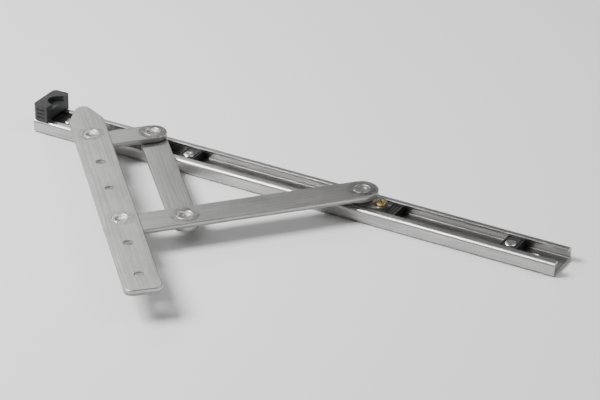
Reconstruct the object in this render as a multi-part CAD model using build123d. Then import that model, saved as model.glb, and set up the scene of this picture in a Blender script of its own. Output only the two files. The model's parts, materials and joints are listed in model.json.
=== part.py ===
from build123d import *
import math
import os

# Friction stay hinge for a side-hung window sash: the stay of the bottom left-hand corner, sash part open.
# The track lies along X on the frame's sill. The origin is the middle of the track's mounting face,
# +Z is up through the stack of arms, -X is the hinge corner, and the sash opens towards -Y.
# Lengths are in millimetres. An opening is the sash's angle in degrees, and 0 is closed.

# ---- Linkage ----
LONG_LINK = 90.0  # main pivot to cross pivot, cross pivot to slider pivot, and pivot to pivot on the vent bar
SHORT_LINK = 32.0  # main pivot to vent bar, cross pivot to vent bar, and the bar's nose to its near pivot
REST_OPENING = 47.0
FULL_OPENING = 75.0

# ---- Track ----
TRACK_WIDTH = 20.0
TRACK_HEIGHT = 7.5
TRACK_WALL = 1.5
TRACK_SLOT = 12.0  # gap between the lips
TRACK_BEND = 1.8  # outer radius of the rolled corners
TRACK_BEND_INSIDE = 0.5
CORNER_MARGIN = 4.0  # track's hinge-corner end to the closed vent bar's nose
TRACK_TAIL = 32.0  # closed slider's far end to the track's far end

# ---- Arms and vent bar ----
ARM_THICKNESS = 2.5
BAR_THICKNESS = 3.0
SUPPORT_WIDTH = 14.0
SHORT_WIDTH = 15.0
LONG_WIDTH = 17.0
BAR_WIDTH = 18.0
BAR_TAIL = 68.0  # vent bar's end past its far pivot
BAR_SHOULDER = 15.0  # nose to full width
BAR_SHOULDER_ROUND = 8.0
BAR_CORNER_ROUND = 4.0
NOSE_RADIUS = 4.0
LAYER_GAP = 0.5  # between one layer of arms and the next
EDGE_ROUND = 0.4

# ---- Pivots ----
RIVET_RADIUS = 2.5
RIVET_HEAD_RADIUS = 4.2
RIVET_HEAD_HEIGHT = 1.3
WASHER_RADIUS = 6.5
BUSH_RADIUS = 5.4
BUSH_FLANGE_RADIUS = 7.5
BUSH_FLANGE_HEIGHT = 1.4

# ---- Small rivets that hold the end cap and the stops ----
SMALL_RIVET_RADIUS = 1.6
SMALL_HEAD_RADIUS = 2.9
SMALL_HEAD_DOME = 0.7
SMALL_HEAD_SINK = 0.8

# ---- Slider ----
SLIDER_LENGTH = 40.0
GLIDE_LENGTH = 6.0
TONGUE_LENGTH = 3.5  # part of the block that reaches into each glide
TONGUE_WIDTH = 9.0
TONGUE_HEIGHT = 1.8
BLOCK_RELIEF = 0.2  # block inside the glides' outline, all round
NECK_RELIEF = 0.5  # neck inside the track's slot, each side
NECK_PROUD = 0.5  # neck above the lips
BOSS_RADIUS = 5.5
SCREW_OFFSET = 11.0  # friction screw from the slider pivot
SCREW_RADIUS = 1.75
SCREW_HEAD_RADIUS = 2.8
SCREW_HEAD_HEIGHT = 1.5
SCREW_DRIVE_WIDTH = 0.8
SCREW_DRIVE_DEPTH = 0.7
PAD_RADIUS = 2.8
PAD_HEIGHT = 1.6

# ---- End cap and stops ----
CAP_PLUG_LENGTH = 22.0
CAP_LIP = 1.0  # cap's front past the closed nose's centre
CAP_RECESS = 0.5  # cap's top below the vent bar's top
CAP_RIVET_OFFSET = 16.0  # cap's rivet from the track's end
CAP_CORNER_ROUND = 2.5
MOUTH_SWING = 12.0  # opening up to which the mouth follows the vent bar's nose
MOUTH_STEPS = 4
STOP_LENGTH = 9.0

# ---- Screw holes ----
SCREW_HOLE_RADIUS = 2.4
COUNTERSINK_RADIUS = 4.2
TRACK_COUNTERSINK = 1.1
BAR_COUNTERSINK = 1.8
CORNER_HOLE_OFFSET = 24.0  # track's first hole from the main pivot
TAIL_HOLE_OFFSET = 16.0  # track's last hole from its far end
ADJUSTING_SLOT_LENGTH = 11.0
BAR_HOLE_PITCH = 28.0  # between the two holes that lie midway between the bar's pivots
BAR_TAIL_HOLES = (24.0, 54.0)  # from the bar's far pivot

# ---- Clearances ----
RUNNING = 0.05  # radial, a rivet in the arm that turns on it
FACE = 0.05  # between two flat faces that turn on each other
SLIDE = 0.15  # slider in the channel
SNUG = 0.05  # end cap and stops in the channel
NOSE_CLEARANCE = 0.4

# ---- Layers, from the mounting face up ----
CHANNEL_TOP = TRACK_HEIGHT - TRACK_WALL
SUPPORT_LOW = TRACK_HEIGHT + LAYER_GAP
SUPPORT_HIGH = SUPPORT_LOW + ARM_THICKNESS
ARM_LOW = SUPPORT_HIGH + LAYER_GAP
ARM_HIGH = ARM_LOW + ARM_THICKNESS
BAR_LOW = ARM_HIGH + LAYER_GAP
BAR_HIGH = BAR_LOW + BAR_THICKNESS

# ---- Track's extent and holes ----
CORNER_END = CORNER_MARGIN + 2 * SHORT_LINK
TRACK_LENGTH = CORNER_END + 2 * LONG_LINK + SLIDER_LENGTH / 2 + TRACK_TAIL
TRACK_START = -TRACK_LENGTH / 2
CHANNEL_HALF = TRACK_WIDTH / 2 - TRACK_WALL
MAIN_PIVOT = Vector(TRACK_START + CORNER_END, 0, 0)
FIRST_HOLE = MAIN_PIVOT.X - CORNER_HOLE_OFFSET
HOLE_PITCH = (TRACK_LENGTH / 2 - TAIL_HOLE_OFFSET - FIRST_HOLE) / 2
TRACK_HOLES = [FIRST_HOLE + step * HOLE_PITCH for step in range(3)]
TRACK_SLOTS = [FIRST_HOLE + (step + 0.5) * HOLE_PITCH for step in range(2)]

# ---- Vent bar's extent and holes, from its nose ----
BAR_MIDDLE = SHORT_LINK + LONG_LINK / 2
BAR_FAR_PIVOT = SHORT_LINK + LONG_LINK
BAR_LENGTH = BAR_FAR_PIVOT + BAR_TAIL
BAR_HOLES = [BAR_MIDDLE + side * BAR_HOLE_PITCH / 2 for side in (-1, 1)]
BAR_HOLES += [BAR_FAR_PIVOT + offset for offset in BAR_TAIL_HOLES]


def along(opening, distance):
    """Return a step along the support arm and the vent bar."""
    angle = math.radians(opening)
    return Vector(distance * math.cos(angle), -distance * math.sin(angle), 0)


def across(opening, distance):
    """Return a step along the short arm and the long arm, away from the slider."""
    angle = math.radians(opening)
    return Vector(-distance * math.cos(angle), -distance * math.sin(angle), 0)


def slider_pivot(opening):
    """Return the slider's pivot, which stays on the track's line."""
    return MAIN_PIVOT + along(opening, LONG_LINK) - across(opening, LONG_LINK)


def bar_nose(opening):
    """Return the tip of the vent bar's nose, which stays on the track's line."""
    return MAIN_PIVOT + across(opening, SHORT_LINK) - along(opening, SHORT_LINK)


CROSS_PIVOT = MAIN_PIVOT + along(REST_OPENING, LONG_LINK)
NEAR_PIVOT = MAIN_PIVOT + across(REST_OPENING, SHORT_LINK)
FAR_PIVOT = CROSS_PIVOT + across(REST_OPENING, SHORT_LINK)
SLIDER_PIVOT = slider_pivot(REST_OPENING)


# ---- Shapes used more than once ----


def disc(point, radius, low, high):
    """Return an upright cylinder between two heights."""
    return Pos(point.X, point.Y, low) * extrude(Circle(radius), high - low)


def sink(point, low_radius, high_radius, low, high):
    """Return an upright cone frustum between two heights."""
    middle = (low + high) / 2
    return Pos(point.X, point.Y, middle) * Cone(low_radius, high_radius, high - low)


def slab(x_low, x_high, half_width, low, high):
    """Return a block on the track's line."""
    size = (x_high - x_low, 2 * half_width, high - low)
    return Pos((x_low + x_high) / 2, 0, (low + high) / 2) * Box(*size)


def insert(x_low, x_high, clearance, low, high):
    """Return a block that fits in the track's channel, with its long edges inside the channel's bends."""
    block = slab(x_low, x_high, CHANNEL_HALF - clearance, low, high)
    return fillet(block.edges().filter_by(Axis.X), TRACK_BEND_INSIDE)


def flush_rivet(point, low, high, grow=0.0):
    """Return a rivet with a countersunk head at each end, or its hole, which is larger by grow."""
    shank = RIVET_RADIUS + grow
    head = RIVET_HEAD_RADIUS + grow
    body = disc(point, shank, low, high)
    body += sink(point, head, shank, low, low + RIVET_HEAD_HEIGHT)
    body += sink(point, shank, head, high - RIVET_HEAD_HEIGHT, high)
    return body


def small_rivet_hole(point, high):
    """Return the hole that a small rivet fills, from the mounting face up."""
    body = disc(point, SMALL_RIVET_RADIUS, 0, high)
    return body + sink(point, SMALL_HEAD_RADIUS, SMALL_RIVET_RADIUS, 0, SMALL_HEAD_SINK)


def small_rivet(point, high):
    """Return a small rivet, flush with the mounting face and domed above the height high."""
    head = disc(point, SMALL_HEAD_RADIUS, high, high + SMALL_HEAD_DOME)
    head = fillet(head.edges().group_by(Axis.Z)[-1], SMALL_HEAD_DOME * 0.9)
    return small_rivet_hole(point, high) + head


def pivot_washer(point, low, high):
    """Return the washer on a rivet, in the gap between two layers."""
    return disc(point, WASHER_RADIUS, low + FACE, high - FACE) - disc(point, RIVET_RADIUS, low, high)


def soften(part):
    """Round the outer edges of a flat piece's two faces."""
    faces = part.faces().filter_by(Axis.Z).sort_by(Axis.Z)
    edges = faces[0].outer_wire().edges() + faces[-1].outer_wire().edges()
    return fillet(edges, EDGE_ROUND)


def strip(start, end, width, low, high):
    """Return a flat arm with a round end about each of two pivots."""
    line = end - start
    turn = math.degrees(math.atan2(line.Y, line.X))
    middle = (start + end) / 2
    outline = SlotCenterToCenter(line.length, width)
    return soften(Pos(middle.X, middle.Y, low) * Rot(0, 0, turn) * extrude(outline, high - low))


# ---- Track and what is fixed to it ----


def make_track(cap_rivet, stops):
    """Return the rolled channel with its screw holes and rivet holes."""
    section = RectangleRounded(TRACK_WIDTH, TRACK_HEIGHT, TRACK_BEND)
    section -= RectangleRounded(2 * CHANNEL_HALF, CHANNEL_TOP - TRACK_WALL, TRACK_BEND_INSIDE)
    section -= Pos(0, TRACK_HEIGHT / 2) * Rectangle(TRACK_SLOT, 2 * TRACK_WALL + 1)
    plane = Plane(origin=(TRACK_START, 0, TRACK_HEIGHT / 2), x_dir=(0, 1, 0), z_dir=(1, 0, 0))
    track = extrude(plane * section, TRACK_LENGTH)
    for x in TRACK_HOLES:
        point = Vector(x, 0, 0)
        track -= disc(point, SCREW_HOLE_RADIUS, 0, TRACK_WALL)
        countersink_low = TRACK_WALL - TRACK_COUNTERSINK
        track -= sink(point, SCREW_HOLE_RADIUS, COUNTERSINK_RADIUS, countersink_low, TRACK_WALL)
    for x in TRACK_SLOTS:
        outline = SlotOverall(ADJUSTING_SLOT_LENGTH, 2 * SCREW_HOLE_RADIUS)
        track -= Pos(x, 0, 0) * extrude(outline, TRACK_WALL)
    track -= flush_rivet(MAIN_PIVOT, 0, ARM_HIGH)
    for point in [cap_rivet] + stops:
        track -= small_rivet_hole(point, TRACK_WALL)
    return track


def make_end_cap(rivet):
    """Return the cap: a plug in the channel, a neck between the lips and a block with the nose's mouth."""
    front = bar_nose(0).X + NOSE_RADIUS + CAP_LIP
    plug_top = CHANNEL_TOP - SNUG
    block = slab(TRACK_START, front, TRACK_WIDTH / 2, TRACK_HEIGHT, BAR_HIGH - CAP_RECESS)
    back_corners = block.edges().filter_by(Axis.Z).group_by(Axis.X)[0]
    block = fillet(back_corners, CAP_CORNER_ROUND)
    block = fillet(block.edges().group_by(Axis.Z)[-1], EDGE_ROUND)
    cutter = extrude(offset(bar_outline(), NOSE_CLEARANCE), BAR_THICKNESS + LAYER_GAP)
    for step in range(MOUTH_STEPS + 1):
        block -= bar_place(MOUTH_SWING * step / MOUTH_STEPS, ARM_HIGH) * cutter
    cap = block + slab(TRACK_START, front, TRACK_SLOT / 2 - SNUG, plug_top, TRACK_HEIGHT)
    cap += insert(TRACK_START, TRACK_START + CAP_PLUG_LENGTH, SNUG, TRACK_WALL, plug_top)
    return cap - small_rivet_hole(rivet, plug_top)


def make_stop(point):
    """Return a travel stop: a block fixed in the channel."""
    half = STOP_LENGTH / 2
    stop = insert(point.X - half, point.X + half, SNUG, TRACK_WALL, CHANNEL_TOP - SNUG)
    return stop - small_rivet_hole(point, CHANNEL_TOP - SNUG)


def make_track_group():
    """Return the pieces that stay still: the track, its cap, its stops and the main pivot."""
    cap_rivet = Vector(TRACK_START + CAP_RIVET_OFFSET, 0, 0)
    reach = (SLIDER_LENGTH + STOP_LENGTH) / 2
    opening_stop = slider_pivot(FULL_OPENING) - Vector(reach, 0, 0)
    closing_stop = slider_pivot(0) + Vector(reach, 0, 0)
    stops = [opening_stop, closing_stop]
    insert_top = CHANNEL_TOP - SNUG
    rivet = flush_rivet(MAIN_PIVOT, 0, ARM_HIGH)
    bush = disc(MAIN_PIVOT, BUSH_FLANGE_RADIUS, TRACK_WALL, TRACK_WALL + BUSH_FLANGE_HEIGHT)
    bush += disc(MAIN_PIVOT, BUSH_RADIUS, TRACK_WALL, SUPPORT_LOW - FACE)
    return {
        "track": make_track(cap_rivet, stops),
        "end_cap": make_end_cap(cap_rivet),
        "end_cap_rivet": small_rivet(cap_rivet, insert_top),
        "opening_stop": make_stop(opening_stop),
        "closing_stop": make_stop(closing_stop),
        "stop_rivets": Compound([small_rivet(point, insert_top).solid() for point in stops]),
        "main_pivot_bush": bush - rivet,
        "main_pivot_rivet": rivet,
        "main_pivot_washer": pivot_washer(MAIN_PIVOT, SUPPORT_HIGH, ARM_LOW),
    }


# ---- Slider ----


def make_slider_group():
    """Return the slider's pieces: block, glides, friction screw and pad, rivet and washer."""
    centre = SLIDER_PIVOT.X
    block_half = SLIDER_LENGTH / 2 - GLIDE_LENGTH
    glide_low = TRACK_WALL + SLIDE
    glide_high = CHANNEL_TOP - SLIDE
    block_low = glide_low + BLOCK_RELIEF
    block_high = glide_high - BLOCK_RELIEF
    neck_high = TRACK_HEIGHT + NECK_PROUD
    tongue_low = (glide_low + glide_high - TONGUE_HEIGHT) / 2
    screw = Vector(centre + SCREW_OFFSET, 0, 0)
    pad_low = TRACK_WALL + FACE
    pad_high = pad_low + PAD_HEIGHT

    block = insert(centre - block_half, centre + block_half, SLIDE + BLOCK_RELIEF, block_low, block_high)
    tongue_half = block_half + TONGUE_LENGTH
    tongue = slab(
        centre - tongue_half, centre + tongue_half, TONGUE_WIDTH / 2, tongue_low, tongue_low + TONGUE_HEIGHT
    )
    neck = SlotOverall(2 * block_half, TRACK_SLOT - 2 * NECK_RELIEF)
    block += tongue
    block += Pos(centre, 0, block_high) * extrude(neck, neck_high - block_high)
    block += disc(SLIDER_PIVOT, BOSS_RADIUS, neck_high, SUPPORT_HIGH)
    block -= flush_rivet(SLIDER_PIVOT, block_low, ARM_HIGH)
    block -= disc(screw, PAD_RADIUS, block_low, pad_high)
    block -= disc(screw, SCREW_RADIUS, pad_high, neck_high)

    head_high = neck_high + SCREW_HEAD_HEIGHT
    head = disc(screw, SCREW_HEAD_RADIUS, neck_high, head_high)
    head = fillet(head.edges().group_by(Axis.Z)[-1], EDGE_ROUND)
    drive = Box(SCREW_DRIVE_WIDTH, 2 * SCREW_HEAD_RADIUS, 2 * SCREW_DRIVE_DEPTH)
    head -= Pos(screw.X, 0, head_high) * Rot(0, 0, REST_OPENING) * drive

    def make_glide(side):
        """Return the moulded glide of one end: side is 1 towards +X and -1 towards -X."""
        inner = centre + side * block_half
        outer = inner + side * GLIDE_LENGTH
        return insert(min(inner, outer), max(inner, outer), SLIDE, glide_low, glide_high) - tongue

    return {
        "slider_block": block,
        "slider_front_glide": make_glide(-1),
        "slider_rear_glide": make_glide(1),
        "slider_rivet": flush_rivet(SLIDER_PIVOT, block_low, ARM_HIGH),
        "slider_washer": pivot_washer(SLIDER_PIVOT, SUPPORT_HIGH, ARM_LOW),
        "friction_screw": head + disc(screw, SCREW_RADIUS, pad_high, neck_high),
        "friction_pad": disc(screw, PAD_RADIUS, pad_low, pad_high),
    }


# ---- Arms ----


def make_arm_groups():
    """Return the three arms, each with the rivet and the washer that it carries."""
    support = strip(MAIN_PIVOT, CROSS_PIVOT, SUPPORT_WIDTH, SUPPORT_LOW, SUPPORT_HIGH)
    support -= disc(MAIN_PIVOT, RIVET_RADIUS + RUNNING, SUPPORT_LOW, SUPPORT_HIGH)
    support -= flush_rivet(CROSS_PIVOT, SUPPORT_LOW, ARM_HIGH)

    short = strip(MAIN_PIVOT, NEAR_PIVOT, SHORT_WIDTH, ARM_LOW, ARM_HIGH)
    short -= flush_rivet(MAIN_PIVOT, 0, ARM_HIGH, RUNNING)
    short -= flush_rivet(NEAR_PIVOT, ARM_LOW, BAR_HIGH)

    long = strip(SLIDER_PIVOT, FAR_PIVOT, LONG_WIDTH, ARM_LOW, ARM_HIGH)
    for point in (SLIDER_PIVOT, CROSS_PIVOT):
        long -= flush_rivet(point, SUPPORT_LOW, ARM_HIGH, RUNNING)
    long -= flush_rivet(FAR_PIVOT, ARM_LOW, BAR_HIGH)
    return {
        "support_arm": support,
        "cross_pivot_rivet": flush_rivet(CROSS_PIVOT, SUPPORT_LOW, ARM_HIGH),
        "cross_pivot_washer": pivot_washer(CROSS_PIVOT, SUPPORT_HIGH, ARM_LOW),
        "short_arm": short,
        "vent_near_rivet": flush_rivet(NEAR_PIVOT, ARM_LOW, BAR_HIGH),
        "vent_near_washer": pivot_washer(NEAR_PIVOT, ARM_HIGH, BAR_LOW),
        "long_arm": long,
        "vent_far_rivet": flush_rivet(FAR_PIVOT, ARM_LOW, BAR_HIGH),
        "vent_far_washer": pivot_washer(FAR_PIVOT, ARM_HIGH, BAR_LOW),
    }


# ---- Vent bar ----


def bar_place(opening, height):
    """Return the place of the vent bar's nose and line at an opening and a height."""
    return Pos(bar_nose(opening).X, 0, height) * Rot(0, 0, -opening)


def bar_outline():
    """Return the vent bar's outline along +X from its nose: a round nose, shoulders and a square end."""
    half = BAR_WIDTH / 2
    reach = math.hypot(BAR_SHOULDER - NOSE_RADIUS, half)
    bearing = math.atan2(half, BAR_SHOULDER - NOSE_RADIUS) + math.acos(NOSE_RADIUS / reach)
    tangent = (NOSE_RADIUS + NOSE_RADIUS * math.cos(bearing), NOSE_RADIUS * math.sin(bearing))
    upper = [tangent, (BAR_SHOULDER, half), (BAR_LENGTH, half)]
    lower = [(x, -y) for x, y in reversed(upper)]
    outline = make_face(Polyline(*upper, *lower) + ThreePointArc(lower[-1], (0, 0), upper[0]))
    corners = outline.vertices().group_by(Axis.X)
    outline = fillet(corners[-1], BAR_CORNER_ROUND)
    shoulders = [v for v in outline.vertices() if abs(v.X - BAR_SHOULDER) < EDGE_ROUND]
    return fillet(shoulders, BAR_SHOULDER_ROUND)


def make_vent_bar():
    """Return the bar that is screwed under the sash, with its screw holes and pivot holes."""
    bar = soften(bar_place(REST_OPENING, BAR_LOW) * extrude(bar_outline(), BAR_THICKNESS))
    for distance in BAR_HOLES:
        point = bar_nose(REST_OPENING) + along(REST_OPENING, distance)
        bar -= disc(point, SCREW_HOLE_RADIUS, BAR_LOW, BAR_HIGH)
        bar -= sink(point, COUNTERSINK_RADIUS, SCREW_HOLE_RADIUS, BAR_LOW, BAR_LOW + BAR_COUNTERSINK)
    for point in (NEAR_PIVOT, FAR_PIVOT):
        bar -= flush_rivet(point, ARM_LOW, BAR_HIGH, RUNNING)
    return bar


# ---- Export ----


def main():
    """Build every piece and write one STEP file for each node."""
    pieces = make_track_group()
    pieces.update(make_slider_group())
    pieces.update(make_arm_groups())
    pieces["vent_bar"] = make_vent_bar()
    os.makedirs("parts", exist_ok=True)
    for name, piece in pieces.items():
        export_step(piece, f"parts/{name}.step")


main()
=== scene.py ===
"""Friction stay hinge: the visible pieces, their finishes and the studio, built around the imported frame.

Lengths are in metres in the frame's own axes: the track lies along X, the sash opens towards -Y, +Z is up.
"""
import json
import logging
import math
from dataclasses import dataclass
from enum import Enum
from typing import Any, Callable, Sequence

import bmesh
import bpy
from mathutils import Matrix, Vector
from mathutils.geometry import tessellate_polygon


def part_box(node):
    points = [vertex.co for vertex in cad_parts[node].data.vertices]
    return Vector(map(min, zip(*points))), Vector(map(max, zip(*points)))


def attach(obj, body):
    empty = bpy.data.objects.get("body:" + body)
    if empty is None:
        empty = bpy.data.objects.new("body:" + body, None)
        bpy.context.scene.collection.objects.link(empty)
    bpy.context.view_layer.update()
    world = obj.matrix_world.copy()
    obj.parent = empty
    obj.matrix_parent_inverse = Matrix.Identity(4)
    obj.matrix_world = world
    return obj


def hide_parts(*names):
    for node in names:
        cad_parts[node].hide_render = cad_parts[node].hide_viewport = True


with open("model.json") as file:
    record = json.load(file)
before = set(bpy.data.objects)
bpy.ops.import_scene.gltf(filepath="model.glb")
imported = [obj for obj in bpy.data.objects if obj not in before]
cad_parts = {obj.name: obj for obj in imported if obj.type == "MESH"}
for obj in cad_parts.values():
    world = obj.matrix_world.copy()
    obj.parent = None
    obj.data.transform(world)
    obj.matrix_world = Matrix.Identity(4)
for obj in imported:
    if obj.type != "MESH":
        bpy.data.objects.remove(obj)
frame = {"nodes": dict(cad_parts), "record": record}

LOG = logging.getLogger("friction_stay")
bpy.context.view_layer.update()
MM = 0.001
SHORT_LINK = 32 * MM  # the closed nose to the near pivot, and the near pivot to the main one
NOSE_RADIUS = 4 * MM
SHARP_ANGLE = 28.0  # degrees
CUT_PAST = 1 * MM  # how far a cutter stands out of what it cuts
SPIN_ATTRIBUTE = "spin_radius"

Point = tuple[float, float]
Profile = list[Point]
Colour = tuple[float, float, float, float]
Thing = bpy.types.Object
Socket = bpy.types.NodeSocket
Material = bpy.types.Material
Vert = bmesh.types.BMVert


# ---- Reading the frame ----


class Body(Enum):
    """The bodies that pieces ride on."""

    TRACK = "track"
    SUPPORT = "support_arm"
    SHORT = "short_arm"
    LONG = "long_arm"
    VENT = "vent_bar"
    SLIDER = "slider"


@dataclass(frozen=True)
class Span:
    """The box that a CAD node fills."""

    low: Vector  # lowest corner
    high: Vector  # highest corner

    @classmethod
    def of(cls, node: str) -> "Span":
        """Read a node's box from the frame."""
        low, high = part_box(node)
        return cls(Vector(low), Vector(high))

    @property
    def centre(self) -> Vector:
        """The box's centre."""
        return (self.low + self.high) / 2

    @property
    def size(self) -> Vector:
        """The box's sides."""
        return self.high - self.low

    @property
    def radius(self) -> float:
        """Half the box's X side, for a round node."""
        return self.size.x / 2


def pivot_of(joint: str) -> Vector:
    """Return a joint's place in the plan."""
    for entry in frame["record"]["behaviour"]["joints"]:
        if entry["name"] == joint:
            return Vector((entry["pos_m"][0], entry["pos_m"][1], 0.0))
    raise KeyError(joint)


# ---- Outlines ----


def polar(centre: Point, radius: float, bearing: float) -> Point:
    """Return the point at a radius and a bearing from a centre."""
    return (centre[0] + radius * math.cos(bearing), centre[1] + radius * math.sin(bearing))


def circle(centre: Point, radius: float, count: int = 64) -> list[Point]:
    """Return a circle's points, anticlockwise."""
    step = 2 * math.pi / count
    return [polar(centre, radius, k * step) for k in range(count)]


def arc(centre: Point, radius: float, start: float, sweep: float, count: int) -> list[Point]:
    """Return the points of an arc, both ends included: a positive sweep turns anticlockwise."""
    return [polar(centre, radius, start + sweep * k / count) for k in range(count + 1)]


def stadium(first: Vector, last: Vector, width: float, count: int = 32) -> list[Point]:
    """Return the outline of a strip with a round end about each of two points, anticlockwise.

    Args:
        first: one end's centre.
        last: the other end's centre.
        width: the strip's width.
        count: steps in each round end.

    Returns:
        The points.
    """
    heading = math.atan2(last.y - first.y, last.x - first.x)
    far = arc((last.x, last.y), width / 2, heading - math.pi / 2, math.pi, count)
    near = arc((first.x, first.y), width / 2, heading + math.pi / 2, math.pi, count)
    return far + near


def rounded(corners: Sequence[tuple[float, float, float]], count: int = 8) -> list[Point]:
    """Return a polygon's outline with each corner rounded by its own radius.

    Args:
        corners: x, y and radius of each corner, in order.
        count: steps in each round.

    Returns:
        The points.
    """
    points: list[Point] = []
    for index, (x, y, radius) in enumerate(corners):
        here = Vector((x, y))
        before = (Vector(corners[index - 1][:2]) - here).normalized()
        after = (Vector(corners[(index + 1) % len(corners)][:2]) - here).normalized()
        if radius <= 0:
            points.append((x, y))
            continue
        half = before.angle(after) / 2
        centre = here + (before + after).normalized() * (radius / math.sin(half))
        start = here + before * (radius / math.tan(half)) - centre
        end = here + after * (radius / math.tan(half)) - centre
        first = math.atan2(start.y, start.x)
        sweep = (math.atan2(end.y, end.x) - first + math.pi) % (2 * math.pi) - math.pi
        points += arc((centre.x, centre.y), radius, first, sweep, count)
    return points


def oblong(half_x: float, half_y: float) -> list[Point]:
    """Return the corners of a rectangle about the origin, anticlockwise."""
    return [(-half_x, -half_y), (half_x, -half_y), (half_x, half_y), (-half_x, half_y)]


def inset(outline: Sequence[Point], distance: float) -> list[Point]:
    """Return an anticlockwise outline moved inwards.

    Args:
        outline: the points.
        distance: how far each side moves.

    Returns:
        The moved points, one for each point given.
    """
    steepest = 0.3  # keeps a sharp corner from running away
    moved = []
    for index, point in enumerate(outline):
        here = Vector(point)
        before = (here - Vector(outline[index - 1])).normalized()
        after = (Vector(outline[(index + 1) % len(outline)]) - here).normalized()
        side = Vector((-before.y - after.y, before.x + after.x)).normalized()
        across = Vector((-before.y, before.x))
        moved.append(tuple(here + side * (distance / max(side.dot(across), steepest))))
    return moved


def edge_profile(low: float, high: float, low_round: float, high_round: float, count: int = 4) -> Profile:
    """Return the inset and height of each ring up a plate's side, with a round at each edge.

    Args:
        low: the lower face's height.
        high: the upper face's height.
        low_round: the lower edge's radius.
        high_round: the upper edge's radius.
        count: steps in each round.

    Returns:
        Pairs of inset and height, from the lower face to the upper one.
    """
    turns = [math.pi / 2 * k / count for k in range(count + 1)]
    lower = [(low_round * (1 - math.sin(t)), low + low_round * (1 - math.cos(t))) for t in turns]
    upper = [(high_round * (1 - math.cos(t)), high - high_round * (1 - math.sin(t))) for t in turns]
    return lower + upper


@dataclass(frozen=True)
class Hole:
    """A round hole through a plate."""

    centre: Vector  # the hole's line
    profile: Profile  # radius and height of each ring, from the lower face to the upper one


# ---- Meshes ----


class MeshMaker:
    """Collects rings and faces, and turns them into one plain mesh object."""

    def __init__(self) -> None:
        """Start with no points."""
        self.work = bmesh.new()

    def ring(self, points: Sequence[Point], height: float) -> list[Vert]:
        """Add a level ring of points and return its vertices."""
        return [self.work.verts.new((x, y, height)) for x, y in points]

    def skin(self, rings: Sequence[Sequence[Vert]]) -> None:
        """Join each ring to the next one."""
        for lower, upper in zip(rings, rings[1:]):
            for k in range(len(lower)):
                after = (k + 1) % len(lower)
                self.work.faces.new((lower[k], lower[after], upper[after], upper[k]))

    def cap(self, loops: Sequence[Sequence[Vert]]) -> None:
        """Fill the flat face between an outer ring and its holes."""
        verts = [v for loop in loops for v in loop]
        for triangle in tessellate_polygon([[v.co for v in loop] for loop in loops]):
            self.work.faces.new([verts[k] for k in triangle])

    def finish(self, name: str) -> Thing:
        """Turn what was collected into an object with faces that point outwards.

        Args:
            name: the object's name.

        Returns:
            The object, linked to the scene.
        """
        bmesh.ops.remove_doubles(self.work, verts=self.work.verts, dist=1e-7)
        bmesh.ops.recalc_face_normals(self.work, faces=self.work.faces)
        mesh = bpy.data.meshes.new(name)
        self.work.to_mesh(mesh)
        self.work.free()
        return link(bpy.data.objects.new(name, mesh))


def plate(outline: Sequence[Point], edge: Profile, holes: Sequence[Hole] = ()) -> Thing:
    """Make a closed plate: an outline carried up its edge profile, with holes through it.

    Args:
        outline: the plate's outline, anticlockwise.
        edge: inset and height of each ring up the side.
        holes: what goes through.

    Returns:
        The plate.
    """
    maker = MeshMaker()
    walls = [[maker.ring(inset(outline, move), height) for move, height in edge]]
    for hole in holes:
        walls.append([maker.ring(circle(tuple(hole.centre.xy), radius), z) for radius, z in hole.profile])
    for wall in walls:
        maker.skin(wall)
    maker.cap([wall[0] for wall in walls])
    maker.cap([wall[-1] for wall in walls])
    return maker.finish("plate")


def prism(outline: Sequence[Point], low: float, high: float) -> Thing:
    """Return an upright prism between two heights."""
    return plate(outline, [(0.0, low), (0.0, high)])


def brick(low: Sequence[float], high: Sequence[float]) -> Thing:
    """Return a block between two corners."""
    outline = [(low[0], low[1]), (high[0], low[1]), (high[0], high[1]), (low[0], high[1])]
    return prism(outline, low[2], high[2])


def lathe(centre: Vector, profile: Profile, count: int = 64) -> Thing:
    """Turn a profile of radius and height about an upright line.

    Args:
        centre: where the line stands.
        profile: radius and height of each ring; a radius of 0 closes the shape at that end.
        count: steps round.

    Returns:
        The turned solid.
    """
    maker = MeshMaker()
    rings = [maker.ring(circle((centre.x, centre.y), r, count), z) for r, z in profile if r > 0]
    has_bore = profile[0][0] > 0
    maker.skin(rings + [rings[0]] if has_bore else rings)
    for (radius, height), ring in ((profile[0], rings[0]), (profile[-1], rings[-1])):
        if radius > 0:
            continue
        tip = maker.work.verts.new((centre.x, centre.y, height))
        for k in range(count):
            maker.work.faces.new((ring[k], ring[(k + 1) % count], tip))
    return maker.finish("turned")


def link(obj: Thing) -> Thing:
    """Put an object in the scene and return it."""
    bpy.context.scene.collection.objects.link(obj)
    return obj


def settle(obj: Thing) -> Thing:
    """Take an object's live modifiers into its mesh.

    Args:
        obj: the object, at the origin.

    Returns:
        The same object, with a plain mesh and no modifiers.
    """
    graph = bpy.context.evaluated_depsgraph_get()
    mesh = bpy.data.meshes.new_from_object(obj.evaluated_get(graph), depsgraph=graph)
    mesh.name = obj.name
    obj.modifiers.clear()
    obj.data = mesh
    return obj


def shade(obj: Thing) -> Thing:
    """Shade an object smooth, keep its sharp edges and let its large faces lead the normals.

    Args:
        obj: the object.

    Returns:
        The same object.
    """
    mesh = obj.data
    mesh.shade_smooth()
    mesh.set_sharp_from_angle(angle=math.radians(SHARP_ANGLE))
    weigh = obj.modifiers.new("face_weights", "WEIGHTED_NORMAL")
    weigh.keep_sharp = True
    weigh.weight = 90
    return settle(obj)


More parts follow.
